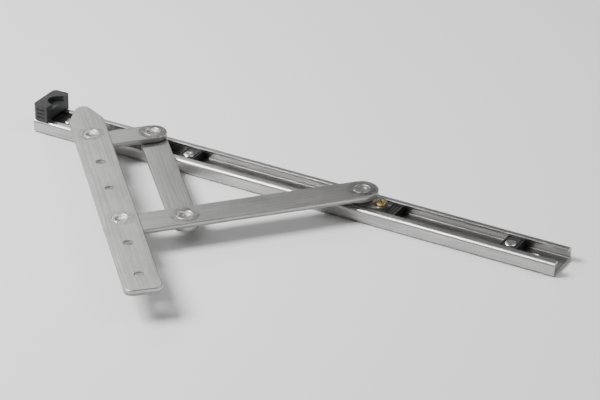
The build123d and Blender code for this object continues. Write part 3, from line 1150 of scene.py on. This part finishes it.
@dataclass(frozen=True)
class FinishSet:
    """The finishes that more than one piece shares, and the tones of the steels."""

    rivet: Finish
    turned: Finish
    acetal: Finish
    nylon: Finish
    zinc: Finish
    arm_tone: Colour = grey(0.45, 0.012)
    bar_tone: Colour = grey(0.48, 0.012)
    track_tone: Colour = grey(0.50, 0.010)

    @classmethod
    def make(cls) -> "FinishSet":
        """Build the shared materials."""
        rivet = SpunSteel("rivet_spun_steel", grey(0.62, 0.015))
        turned = SpunSteel("bush_turned_steel", grey(0.55, 0.01))
        pale, yellowed = (0.78, 0.77, 0.72, 1.0), (0.6, 0.58, 0.54, 1.0)
        acetal = MouldedPlastic("acetal_moulding", pale, yellowed, grain=1500.0, rough=0.3, glow=0.15)
        nylon = MouldedPlastic("nylon_moulding", (0.014, 0.014, 0.015, 1.0), (0.09, 0.09, 0.09, 1.0))
        zinc = CastZinc("slider_cast_zinc", grey(0.46, 0.01))
        slots = (Slot.RIVET_STEEL, Slot.RIVET_STEEL, Slot.ACETAL, Slot.NYLON, Slot.ZINC)
        kinds = (rivet, turned, acetal, nylon, zinc)
        return cls(*(Finish(kind.build(), slot) for kind, slot in zip(kinds, slots)))


# ---- Putting pieces on their bodies ----


class Making(Enum):
    """How a piece was made, which ends its name."""

    ROLLED = "rolled"
    STAMPED = "stamped"
    TURNED = "turned"
    MOULDED = "moulded"
    CAST = "cast"


@dataclass(frozen=True)
class Trees:
    """The geometry trees that the assemblies share."""

    channel: GeometryTree
    flush_rivet: GeometryTree
    domed_rivet: GeometryTree
    row: GeometryTree

    @classmethod
    def make(cls) -> "Trees":
        """Build every tree once."""
        rivets = [rivet_tree(style) for style in (HeadStyle.FLUSH, HeadStyle.DOMED)]
        return cls(rolled_channel_tree(), *rivets, row_tree())


def paint(obj: Thing, material: Material) -> None:
    """Give an object one material."""
    obj.data.materials.clear()
    obj.data.materials.append(material)


def place_piece(obj: Thing, node: str, making: Making, body: Body, finish: Finish) -> None:
    """Paint and name a finished piece, put it on its body and hide the CAD node that it replaces.

    Args:
        obj: the piece, in place.
        node: the CAD node that it replaces.
        making: how it was made.
        body: the body that it rides on.
        finish: its material and the record's slot.
    """
    paint(obj, finish.material)
    name = f"{node}_{making.value}"
    obj.name = name
    obj.data.name = name
    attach(obj, body.value)
    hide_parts(node)
    LOG.info("%s on %s: %d faces", name, body.value, len(obj.data.polygons))


@dataclass(frozen=True)
class RivetSize:
    """The sizes of a rivet, and the holes that take it."""

    shank: float  # the shank's radius
    head: float  # the heads' radius
    sink: float  # the height of a head that is sunk in its piece
    edge: float  # how far a head's edge is broken
    dish: float  # the depth of the closing tool's mark
    dome: float = 0.0  # the height of a domed head
    rim: float = 0.18 * MM  # the round at a hole's rim

    def values(self, head: float, length: float, finish: Finish) -> dict[str, Any]:
        """Return the rivet tree's inputs for a head's radius and a length."""
        sizes = (self.shank, head, self.sink, length, self.edge, self.dish, self.dome, finish.material)
        return dict(zip((*RIVET_SIZES, "Material"), sizes))

    def plain_hole(self, low: float, high: float, play: float) -> Profile:
        """Return a hole with rounded rims, larger than the shank by a play in its radius."""
        radius, rim = self.shank + play, self.rim
        profile = [(radius + rim, low), (radius + 0.3 * rim, low + 0.3 * rim), (radius, low + rim)]
        return profile + [(r, low + high - z) for r, z in reversed(profile)]

    def sunk_hole(self, low: float, high: float, play: float) -> Profile:
        """Return a hole with a countersunk seat for the head in the upper face."""
        radius, head, rim = self.shank + play, self.head + play, self.rim
        profile = [(radius + rim, low), (radius, low + rim), (radius, high - self.sink)]
        return profile + [(head, high - 0.35 * rim), (head + 0.4 * rim, high)]


PIVOT_RIVET = RivetSize(2.5 * MM, 4.2 * MM, 1.3 * MM, 0.22 * MM, 0.28 * MM)
SMALL_RIVET = RivetSize(1.6 * MM, 2.9 * MM, 0.8 * MM, 0.1 * MM, 0.16 * MM, 0.7 * MM)
RUNNING = 0.05 * MM  # a rivet's play in the piece that turns on it


def pivot_rivet(trees: Trees, node: str, body: Body, finish: Finish) -> None:
    """Replace a pivot's rivet.

    Args:
        trees: the shared trees.
        node: the rivet's CAD node.
        body: the body that holds it.
        finish: its finish.
    """
    span = Span.of(node)
    base = Vector((span.centre.x, span.centre.y, span.low.z))
    obj = trees.flush_rivet.run(node, [base], PIVOT_RIVET.values(span.radius, span.size.z, finish))
    place_piece(shade(obj), node, Making.TURNED, body, finish)


def pivot_washer(node: str, body: Body, finish: Finish) -> None:
    """Replace a pivot's washer with one whose edges are rounded.

    Args:
        node: the washer's CAD node.
        body: the body that holds it.
        finish: its finish.
    """
    span, bore, edge = Span.of(node), PIVOT_RIVET.shank, 0.12 * MM
    low, high, outer = span.low.z, span.high.z, span.radius
    profile = [(bore, low + edge), (bore + edge, low), (outer - edge, low), (outer, low + edge)]
    profile += [(outer, high - edge), (outer - edge, high), (bore + edge, high), (bore, high - edge)]
    place_piece(shade(lathe(span.centre, profile)), node, Making.MOULDED, body, finish)


def stamped_steel(node: str, heading: float, tone: Colour, pivots: Sequence[Vector]) -> Finish:
    """Return a stamping's finish, with its grain along the piece and a worn ring about each pivot.

    Args:
        node: the stamping's CAD node.
        heading: its bearing.
        tone: the steel's colour.
        pivots: its pivots.

    Returns:
        The finish.
    """
    span, centres = Span.of(node), tuple((pivot.x, pivot.y) for pivot in pivots)
    steel = StripSteel(f"{node}_steel", heading, tone, span.low.z, span.high.z, pivots=centres)
    return Finish(steel.build(), Slot.ARM_STEEL)


def in_plan(node: str) -> Vector:
    """Return the place of a node's centre in the plan."""
    centre = Span.of(node).centre
    return Vector((centre.x, centre.y, 0.0))


# ---- Arms and vent bar ----


@dataclass
class ArmAssembly:
    """A flat arm with a round end about each pivot, and the rivet and washer that it carries."""

    body: Body  # the arm's body, and the name of its CAD node
    width: float
    ends: tuple[Vector, Vector]  # the pivots at its two ends
    plain: tuple[Vector, ...]  # pivots that turn in a plain hole
    seated: tuple[Vector, ...]  # pivots that turn in a hole with a countersunk seat above
    carried: Vector  # the pivot whose rivet the arm holds
    pivot_name: str  # what the carried rivet's and washer's nodes start with
    stamped_round: float = 0.5 * MM  # the round of the upper edge
    burr_round: float = 0.2 * MM  # the round of the lower edge

    def build(self, span: Span) -> Thing:
        """Make the arm's mesh in its node's box."""
        low, high = span.low.z, span.high.z
        under = [(r, low + high - z) for r, z in reversed(PIVOT_RIVET.sunk_hole(low, high, 0.0))]
        holes = [Hole(self.carried, under)]
        holes += [Hole(centre, PIVOT_RIVET.plain_hole(low, high, RUNNING)) for centre in self.plain]
        holes += [Hole(centre, PIVOT_RIVET.sunk_hole(low, high, RUNNING)) for centre in self.seated]
        edge = edge_profile(low, high, self.burr_round, self.stamped_round)
        return shade(plate(stadium(*self.ends, self.width), edge, holes))

    def dress(self, finishes: FinishSet, trees: Trees) -> None:
        """Build the arm, its rivet and its washer, and give each its finish."""
        node, line = self.body.value, self.ends[1] - self.ends[0]
        pivots = (*self.plain, *self.seated, self.carried)
        finish = stamped_steel(node, math.atan2(line.y, line.x), finishes.arm_tone, pivots)
        place_piece(self.build(Span.of(node)), node, Making.STAMPED, self.body, finish)
        pivot_rivet(trees, f"{self.pivot_name}_rivet", self.body, finishes.rivet)
        pivot_washer(f"{self.pivot_name}_washer", self.body, finishes.acetal)


@dataclass
class VentBar:
    """The bar under the sash: a round nose, square shoulders, screw holes and two pivot holes."""

    near: Vector  # the pivot that is nearer to the nose
    far: Vector  # the other pivot
    length: float = 190 * MM
    width: float = 18 * MM
    shoulder: float = 15 * MM
    shoulder_round: float = 8 * MM
    corner_round: float = 4 * MM
    screws: tuple[float, ...] = (63 * MM, 91 * MM, 146 * MM, 176 * MM)  # holes' distances from the nose
    screw_radius: float = 2.4 * MM
    countersink_radius: float = 4.2 * MM
    countersink_depth: float = 1.8 * MM
    stamped_round: float = 0.5 * MM
    burr_round: float = 0.25 * MM
    rim: float = 0.18 * MM

    @property
    def line(self) -> Vector:
        """The unit vector from the nose along the bar."""
        return (self.far - self.near).normalized()

    @property
    def heading(self) -> float:
        """The bar's bearing."""
        return math.atan2(self.line.y, self.line.x)

    @property
    def nose(self) -> Vector:
        """The nose's tip."""
        return self.near - self.line * SHORT_LINK

    def outline(self) -> list[Point]:
        """Return the bar's outline, anticlockwise, in the frame's axes."""
        half, past_nose = self.width / 2, self.shoulder - NOSE_RADIUS
        bearing = math.atan2(half, past_nose) + math.acos(NOSE_RADIUS / math.hypot(past_nose, half))
        nose = arc((NOSE_RADIUS, 0.0), NOSE_RADIUS, bearing, 2 * (math.pi - bearing), 28)
        corners = [(*nose[-1], 0.0), (self.shoulder, -half, self.shoulder_round)]
        corners += [(self.length, -half, self.corner_round), (self.length, half, self.corner_round)]
        corners += [(self.shoulder, half, self.shoulder_round), (*nose[0], 0.0)]
        turn = Matrix.Rotation(self.heading, 2)
        return [tuple(turn @ Vector(p) + self.nose.xy) for p in rounded(corners)[1:-1] + nose]

    def screw_hole(self, low: float, high: float) -> Profile:
        """Return a screw hole, countersunk from below."""
        radius, sink, rim = self.screw_radius, self.countersink_radius, self.rim
        profile = [(sink + 0.5 * rim, low), (sink, low + 0.5 * rim), (radius, low + self.countersink_depth)]
        return profile + [(radius, high - rim), (radius + 0.3 * rim, high - 0.3 * rim), (radius + rim, high)]

    def build(self, span: Span) -> Thing:
        """Make the bar's mesh in its node's box."""
        low, high = span.low.z, span.high.z
        holes = [Hole(self.nose + self.line * place, self.screw_hole(low, high)) for place in self.screws]
        seat = PIVOT_RIVET.sunk_hole(low, high, RUNNING)
        holes += [Hole(centre, seat) for centre in (self.near, self.far)]
        edge = edge_profile(low, high, self.burr_round, self.stamped_round)
        return shade(plate(self.outline(), edge, holes))

    def dress(self, finishes: FinishSet) -> None:
        """Build the bar and give it its finish."""
        finish = stamped_steel("vent_bar", self.heading, finishes.bar_tone, (self.near, self.far))
        place_piece(self.build(Span.of("vent_bar")), "vent_bar", Making.STAMPED, Body.VENT, finish)


# ---- Track ----


@dataclass(frozen=True)
class ChannelSize:
    """The rolled channel's section and holes."""

    wall: float = 1.5 * MM  # the strip's thickness
    slot: float = 12 * MM  # the gap between the lips
    outer_bend: float = 1.8 * MM  # the outer radius of the rolled corners
    inner_bend: float = 0.5 * MM  # their inner radius
    hole_radius: float = 2.4 * MM  # the screw holes' radius
    countersink_radius: float = 4.2 * MM  # the radius of their countersinks
    countersink_depth: float = 1.1 * MM  # the depth of their countersinks
    first_hole: float = -106 * MM  # the first hole's place along X
    hole_pitch: float = 120 * MM  # from one hole to the next
    slot_length: float = 11 * MM  # the length of the adjusting slots
    snug: float = 0.05 * MM  # the clearance of a moulding that is pushed into the channel
    edge_round: float = 0.15 * MM  # the round of the rolled strip's edges

    def values(self, pivot: Vector) -> dict[str, float]:
        """Return the channel tree's inputs, with a hole at the main pivot."""
        size = Span.of("track").size
        sizes = (
            *size, self.wall, self.slot, self.outer_bend, self.inner_bend, self.hole_radius,
            self.countersink_radius, self.countersink_depth, self.first_hole, self.hole_pitch,
            self.slot_length, PIVOT_RIVET.shank, pivot.x,
        )
        return dict(zip(CHANNEL_SIZES, sizes))


@dataclass
class EndCap:
    """The cap at the hinge corner: a block with a mouth for the bar's nose, a neck and a plug."""

    nose: Vector  # the centre of the closed bar's nose
    lip: float = 1 * MM  # the cap's front past the nose's centre
    back_round: float = 2.5 * MM  # the radius of the corners at the back
    front_round: float = 0.4 * MM  # the radius of the corners at the mouth
    nose_clearance: float = 0.4 * MM  # the mouth's play round the nose
    mouth_drop: float = 0.5 * MM  # the mouth's floor under the bar
    mouth_start: float = 115.0  # the bearing in degrees at which the mouth's round starts
    flare: float = 9 * MM  # how far past the nose's centre the mouth reaches its full width
    dent: tuple[float, float, float] = (0.8 * MM, 5 * MM, 12 * MM)  # its depth, half width and top
    dent_sill: float = 1.6 * MM  # the dent's floor above the track
    dent_past: float = 1.2 * MM  # how far the dent's cutter stands out of the back
    groove: tuple[float, float, float] = (4.6 * MM, 0.45 * MM, 0.8 * MM)  # length, depth and height
    groove_step: float = 2.1 * MM  # from one groove to the next
    groove_shift: float = 0.4 * MM  # the grooves' middle past the cap's middle
    groove_first: float = 2.4 * MM  # the first groove above the track
    edge_round: float = 0.3 * MM  # the round of the moulding's edges
    overlap: float = 1 * MM  # how far the neck reaches into the block and the plug

    def build_block(self, span: Span, base: float, trees: Trees) -> Thing:
        """Make the block that stands on the track.

        Args:
            span: the cap's box.
            base: the track's top.
            trees: the shared trees.

        Returns:
            The block.
        """
        top, back, half, front = span.high.z, span.low.x, span.size.y / 2, self.nose.x + self.lip
        corners = [(back, -half, self.back_round), (front, -half, self.front_round)]
        corners += [(front, half, self.front_round), (back, half, self.back_round)]
        block = prism(rounded(corners), base, top)
        start = math.radians(self.mouth_start)
        mouth = arc(tuple(self.nose.xy), NOSE_RADIUS + self.nose_clearance, start, 2 * (math.pi - start), 20)
        mouth += [(self.nose.x + self.flare, -half), (self.nose.x + self.flare, half)]
        sill = Span.of("vent_bar").low.z - self.mouth_drop
        depth, half_width, level = self.dent
        dent = (back - self.dent_past, -half_width, base + self.dent_sill), (back + depth, half_width, level)
        length, groove_depth, height = self.groove
        values = {"Count": 3, "Step": (0.0, 0.0, self.groove_step)}
        values["Block Size"] = (length, 2 * groove_depth, height)
        middle = (back + front) / 2 + self.groove_shift
        starts = [Vector((middle, side * half, base + self.groove_first)) for side in (-1, 1)]
        grooves = trees.row.run("cap_grooves", starts, values)
        combine(block, [prism(mouth, sill, top + CUT_PAST), brick(*dent), grooves], Boolean.CUT)
        return round_edges(block, self.edge_round)

    def build(self, channel: ChannelSize, trees: Trees) -> Thing:
        """Make the cap.

        Args:
            channel: the channel that its plug fills.
            trees: the shared trees.

        Returns:
            The cap's mesh.
        """
        span, track = Span.of("end_cap"), Span.of("track")
        base, start, front = track.high.z, span.low.x + channel.snug, self.nose.x + self.lip
        block = self.build_block(span, base, trees)
        neck_half = channel.slot / 2 - channel.snug
        half = track.size.y / 2 - channel.wall - channel.snug
        top = base - channel.wall - channel.snug
        neck = brick((start, -neck_half, top - self.overlap), (front, neck_half, base + self.overlap))
        plug = brick((start, -half, channel.wall), (span.high.x, half, top))
        hole = prism(circle(tuple(in_plan("end_cap_rivet").xy), SMALL_RIVET.shank, 40), 0.0, base)
        combine(plug, [hole], Boolean.CUT)
        return join([block, neck, round_edges(plug, self.edge_round)], "end_cap")


@dataclass
class TrackAssembly:
    """The rolled track, its end cap and stops, and the main pivot's bush, rivet and washer."""

    pivot: Vector  # the main pivot
    channel: ChannelSize = ChannelSize()  # the channel's sizes
    bush_radius: float = 5.4 * MM  # the bush's radius above its flange
    bush_flange: float = 1.4 * MM  # the flange's height
    bush_edge: float = 0.2 * MM  # how far the bush's edges are broken
    stop_round: float = 0.3 * MM  # the round of the stops' edges
    stop_shy: float = 0.05 * MM  # how much shorter a stop is at each end than its node
    stop_groove: tuple[float, float, float] = (0.7 * MM, 1 * MM, 0.8 * MM)  # width, place and height
    seat_past: float = 0.4 * MM  # how far the cutter of a rivet's seat stands out of the strip
    rub_margin: float = 4 * MM  # the rubbed line's end, from a stop
    rub_half_width: float = 3.2 * MM  # half the rubbed line's width
    rub_height: float = 0.3 * MM  # how far up from the floor it is rubbed

    def build_channel(self, trees: Trees) -> Thing:
        """Make the track by its tree and round its edges."""
        channel = trees.channel.run("track", [Vector()], self.channel.values(self.pivot))
        seats = [self.seat(self.pivot.x, PIVOT_RIVET)]
        for node in ("opening_stop", "closing_stop", "end_cap_rivet"):
            seats.append(self.seat(Span.of(node).centre.x, SMALL_RIVET))
        return round_edges(combine(channel, seats, Boolean.CUT), self.channel.edge_round, clamp=False)

    def seat(self, place: float, rivet: RivetSize) -> Thing:
        """Return the cutter of a rivet's hole with a countersink in the track's back.

        Args:
            place: the rivet's place along X.
            rivet: the rivet's sizes.

        Returns:
            The cutter.
        """
        past = self.seat_past
        mouth = rivet.head + (rivet.head - rivet.shank) / rivet.sink * past
        profile = [(0.0, -past), (mouth, -past), (rivet.shank, rivet.sink)]
        profile += [(rivet.shank, self.channel.wall + past), (0.0, self.channel.wall + past)]
        return lathe(Vector((place, 0.0, 0.0)), profile, 48)

    def build_bush(self) -> Thing:
        """Make the main pivot's flanged bush."""
        span, bore, edge = Span.of("main_pivot_bush"), PIVOT_RIVET.shank, self.bush_edge
        low, high, flange, radius = span.low.z, span.high.z, span.radius, self.bush_radius
        step = low + self.bush_flange
        profile = [(bore, low), (flange - edge, low), (flange, low + edge), (flange, step - edge)]
        profile += [(flange - edge, step), (radius + edge, step), (radius, step + edge)]
        profile += [(radius, high - edge), (radius - edge, high), (bore, high)]
        return shade(lathe(self.pivot, profile))

    def build_stop(self, node: str, trees: Trees) -> Thing:
        """Make one travel stop, with shallow grooves across its top.

        Args:
            node: the stop's CAD node.
            trees: the shared trees.

        Returns:
            The stop's mesh.
        """
        span, shy = Span.of(node), Vector((self.stop_shy, 0.0, 0.0))
        body = brick(span.low + shy, span.high - shy)
        width, inward, height = self.stop_groove
        values = {"Count": 2, "Step": (span.size.x - 2 * inward, 0.0, 0.0)}
        values["Block Size"] = (width, span.size.y + CUT_PAST, height)
        start = Vector((span.low.x + inward, span.centre.y, span.high.z))
        grooves = trees.row.run("grooves", [start], values)
        rivet = circle(tuple(span.centre.xy), SMALL_RIVET.shank, 40)
        combine(body, [grooves, prism(rivet, span.low.z - CUT_PAST, span.high.z + CUT_PAST)], Boolean.CUT)
        return round_edges(body, self.stop_round)

    def dress(self, nose: Vector, finishes: FinishSet, trees: Trees) -> None:
        """Build every piece of the track and give each its finish.

        Args:
            nose: the centre of the closed bar's nose.
            finishes: the shared finishes.
            trees: the shared trees.
        """
        start, end = Span.of("opening_stop").high.x, Span.of("closing_stop").low.x
        margin, top = self.rub_margin, self.channel.wall + self.rub_height
        rub = RubTrack(start + margin, end - margin, self.rub_half_width, top)
        high = Span.of("track").size.z
        steel = StripSteel("track_rolled_steel", 0.0, finishes.track_tone, 0.0, high, sheared=False, rub=rub)
        finish = Finish(steel.build(), Slot.TRACK_STEEL)
        place_piece(self.build_channel(trees), "track", Making.ROLLED, Body.TRACK, finish)
        cap = EndCap(nose).build(self.channel, trees)
        place_piece(cap, "end_cap", Making.MOULDED, Body.TRACK, finishes.nylon)
        for node in ("opening_stop", "closing_stop"):
            stop = self.build_stop(node, trees)
            place_piece(stop, node, Making.MOULDED, Body.TRACK, finishes.nylon)
        place_piece(self.build_bush(), "main_pivot_bush", Making.TURNED, Body.TRACK, finishes.turned)
        pivot_rivet(trees, "main_pivot_rivet", Body.TRACK, finishes.rivet)
        pivot_washer("main_pivot_washer", Body.TRACK, finishes.acetal)
        self.dress_small_rivets("stop_rivets", ("opening_stop", "closing_stop"), finishes, trees)
        self.dress_small_rivets("end_cap_rivet", ("end_cap_rivet",), finishes, trees)

    def dress_small_rivets(self, node: str, seats: Sequence[str], finishes: FinishSet, trees: Trees) -> None:
        """Put a domed rivet on the middle of each of some nodes.

        Args:
            node: the rivets' CAD node.
            seats: the nodes that they hold.
            finishes: the shared finishes.
            trees: the shared trees.
        """
        span = Span.of(node)
        points = [Vector((Span.of(seat).centre.x, 0.0, span.low.z)) for seat in seats]
        values = SMALL_RIVET.values(span.size.y / 2, span.size.z, finishes.rivet)
        obj = trees.domed_rivet.run(node, points, values)
        place_piece(shade(obj), node, Making.TURNED, Body.TRACK, finishes.rivet)


# ---- Slider ----


@dataclass
class SliderAssembly:
    """The slider: a cast block between two moulded glides, its boss and rivet, and the friction screw."""

    pivot: Vector  # the slider's pivot
    neck_width: float = 11 * MM  # the neck between the lips
    boss_radius: float = 5.5 * MM  # the boss under the arm
    overlap: float = 0.5 * MM  # how far the neck and the boss reach into what is under them
    seat_margin: float = 0.5 * MM  # the screw's seat round its head
    seat_depth: float = 0.35 * MM  # the seat's depth
    groove: Point = (0.6 * MM, 0.9 * MM)  # width and height of a grease groove's cutter
    screw_shank: float = 1.75 * MM  # the screw's shank radius
    screw_head: float = 1.5 * MM  # the head's height
    drive_width: float = 0.8 * MM  # the drive slot's width
    drive_depth: float = 0.7 * MM  # the drive slot's depth
    drive_heading: float = -0.82  # the drive slot's bearing
    lower_edge: tuple[Point, ...] = ((0.1 * MM, 0.0), (0.0, 0.15 * MM))  # inwards and up
    crown: tuple[Point, ...] = ((0.0, 0.5 * MM), (0.12 * MM, 0.22 * MM), (0.45 * MM, 0.04 * MM))  # and down
    flat_share: float = 0.6  # of the head's radius, the flat in its middle
    screw_edge: float = 0.07 * MM  # the round of the screw's edges
    edge_round: float = 0.3 * MM  # the round of the other pieces' edges

    def build_block(self) -> Thing:
        """Make the block: a shoe in the channel, a neck between the lips and a boss under the arm."""
        span, screw, glide = Span.of("slider_block"), Span.of("friction_screw"), Span.of("slider_rear_glide")
        x, half, side, low = self.pivot.x, glide.low.x - self.pivot.x, span.size.y / 2, span.low.z
        shoe_top = glide.high.z - (low - glide.low.z)
        neck_top = screw.high.z - self.screw_head
        shoe = brick((x - half, -side, low), (x + half, side, shoe_top))
        ends = [self.pivot + Vector((sign * (half - self.neck_width / 2), 0, 0)) for sign in (-1, 1)]
        neck = prism(stadium(*ends, self.neck_width, 24), shoe_top - self.overlap, neck_top)
        boss = prism(circle((x, 0.0), self.boss_radius), neck_top - self.overlap, span.high.z)
        seat = circle((screw.centre.x, 0.0), screw.radius + self.seat_margin, 48)
        combine(shoe, [neck, boss], Boolean.ADD)
        combine(shoe, [prism(seat, neck_top - self.seat_depth, neck_top + CUT_PAST)], Boolean.CUT)
        return round_edges(shoe, self.edge_round)

    def build_glide(self, node: str, trees: Trees) -> Thing:
        """Make one glide, with grease grooves across it.

        Args:
            node: the glide's CAD node.
            trees: the shared trees.

        Returns:
            The glide's mesh.
        """
        span, (width, height) = Span.of(node), self.groove
        step = span.size.x / 4
        values = {"Count": 3, "Step": (step, 0.0, 0.0), "Block Size": (width, span.size.y + CUT_PAST, height)}
        grooves = trees.row.run("grease_grooves", [Vector((span.low.x + step, 0.0, span.high.z))], values)
        return round_edges(combine(brick(span.low, span.high), [grooves], Boolean.CUT), self.edge_round)

    def build_screw(self) -> Thing:
        """Make the friction screw's head with its drive slot, and the shank under it."""
        span = Span.of("friction_screw")
        top, radius, centre, shank = span.high.z, span.radius, span.centre, self.screw_shank
        base = top - self.screw_head
        profile = [(0.0, span.low.z), (shank, span.low.z), (shank, base)]
        profile += [(radius - inward, base + up) for inward, up in self.lower_edge]
        profile += [(radius - inward, top - down) for inward, down in self.crown]
        profile += [(radius * self.flat_share, top), (0.0, top)]
        turn = Matrix.Rotation(self.drive_heading, 2)
        corners = oblong(radius * 1.2, self.drive_width / 2)
        outline = [tuple(turn @ Vector(corner) + centre.xy) for corner in corners]
        drive = prism(outline, top - self.drive_depth, top + CUT_PAST)
        return round_edges(combine(lathe(centre, profile, 56), [drive], Boolean.CUT), self.screw_edge)

    def dress(self, finishes: FinishSet, trees: Trees) -> None:
        """Build every piece of the slider and give each its finish."""
        place_piece(self.build_block(), "slider_block", Making.CAST, Body.SLIDER, finishes.zinc)
        for node in ("slider_front_glide", "slider_rear_glide"):
            glide = self.build_glide(node, trees)
            place_piece(glide, node, Making.MOULDED, Body.SLIDER, finishes.nylon)
        centre = tuple(in_plan("friction_screw").xy)
        brass = Finish(TurnedBrass("friction_brass", centre).build(), Slot.BRASS)
        place_piece(self.build_screw(), "friction_screw", Making.TURNED, Body.SLIDER, brass)
        paint(frame["nodes"]["friction_pad"], brass.material)
        pivot_rivet(trees, "slider_rivet", Body.SLIDER, finishes.rivet)
        pivot_washer("slider_washer", Body.SLIDER, finishes.acetal)


# ---- Studio ----


@dataclass(frozen=True)
class SoftBox:
    """A soft light."""

    name: str
    azimuth: float  # where it stands, in degrees: 0 is in front, on the -Y side, and 90 is on the +X side
    elevation: float  # its height above the floor in degrees
    distance: float  # from the target
    size: Point  # its width and height
    power: float  # in watts


@dataclass
class Studio:
    """A plain pale floor, soft lights and the camera."""

    target: Vector  # what the camera and the lights point at
    azimuth: float = 30.0  # where the camera stands, in degrees
    elevation: float = 29.0  # its height above the floor in degrees
    distance: float = 1.25  # from the target
    lens: float = 150.0  # its focal length in millimetres
    air: Point = (0.62, 0.36)  # the brightness and strength of the even fill
    floor_reach: float = 4.0  # from the middle of the floor to its edges
    boxes: tuple[SoftBox, ...] = (
        SoftBox("key_light", -55, 52, 1.0, (0.45, 0.45), 19.0),
        SoftBox("back_light", 240, 38, 1.2, (0.7, 0.35), 4.0),
        SoftBox("side_light", 115, 52, 1.1, (0.6, 0.6), 3.5),
    )

    def aim(self, obj: Thing, azimuth: float, elevation: float, distance: float) -> None:
        """Stand an object round the target and turn it to the target."""
        a, e = math.radians(azimuth), math.radians(elevation)
        back = Vector((math.sin(a) * math.cos(e), -math.cos(a) * math.cos(e), math.sin(e)))
        obj.location = self.target + back * distance
        obj.rotation_euler = back.to_track_quat("Z", "Y").to_euler()

    def build_floor(self) -> None:
        """Make the pale floor."""
        maker = MeshMaker()
        maker.work.faces.new(maker.ring(oblong(self.floor_reach, self.floor_reach), 0.0))
        floor = maker.finish("studio_floor")
        coat = Coat("floor_paper", 0.0, grey(0.74))
        coat.tint(coat.graph.noise(coat.place, 6.0, 2.0), 1, grey(0.77))
        coat.roughness = 0.75
        paint(floor, coat.finish())

    def build_lights(self) -> None:
        """Make the soft lights and the air's even fill."""
        for box in self.boxes:
            light = bpy.data.lights.new(box.name, "AREA")
            light.shape = "RECTANGLE"
            light.size, light.size_y = box.size
            light.energy = box.power
            lamp = link(bpy.data.objects.new(box.name, light))
            self.aim(lamp, box.azimuth, box.elevation, box.distance)
        world = bpy.data.worlds.new("studio_air")
        world.use_nodes = True
        background = world.node_tree.nodes["Background"].inputs
        background[0].default_value = grey(self.air[0])
        background[1].default_value = self.air[1]
        bpy.context.scene.world = world

    def build_camera(self) -> None:
        """Make the camera at its viewing angle."""
        lens = bpy.data.cameras.new("camera")
        lens.lens = self.lens
        lens.clip_start = 0.01
        camera = link(bpy.data.objects.new("camera", lens))
        self.aim(camera, self.azimuth, self.elevation, self.distance)
        bpy.context.scene.camera = camera


# ---- Whole object ----


def dress_arms(finishes: FinishSet, trees: Trees) -> None:
    """Build the three arms and the vent bar."""
    hinge, cross = pivot_of("sash_opening"), pivot_of("cross_pivot_turn")
    far, slider, near = pivot_of("vent_bar_turn"), pivot_of("slider_turn"), in_plan("vent_near_rivet")
    arms = (
        ArmAssembly(Body.SUPPORT, 14 * MM, (hinge, cross), (hinge,), (), cross, "cross_pivot"),
        ArmAssembly(Body.SHORT, 15 * MM, (hinge, near), (), (hinge,), near, "vent_near"),
        ArmAssembly(Body.LONG, 17 * MM, (slider, far), (), (slider, cross), far, "vent_far"),
    )
    for arm in arms:
        arm.dress(finishes, trees)
    VentBar(near, far).dress(finishes)


def main() -> None:
    """Build the whole object and its studio."""
    logging.basicConfig(level=logging.INFO, format="%(name)s: %(message)s")
    trees, finishes, pivot = Trees.make(), FinishSet.make(), pivot_of("sash_opening")
    closed_nose = pivot - Vector((2 * SHORT_LINK - NOSE_RADIUS, 0.0, 0.0))
    TrackAssembly(pivot).dress(closed_nose, finishes, trees)
    dress_arms(finishes, trees)
    SliderAssembly(pivot_of("slider_turn")).dress(finishes, trees)
    studio = Studio(Vector((0.008, -0.004, 0.0)))
    studio.build_floor()
    studio.build_lights()
    studio.build_camera()


if __name__ == "__main__":
    main()
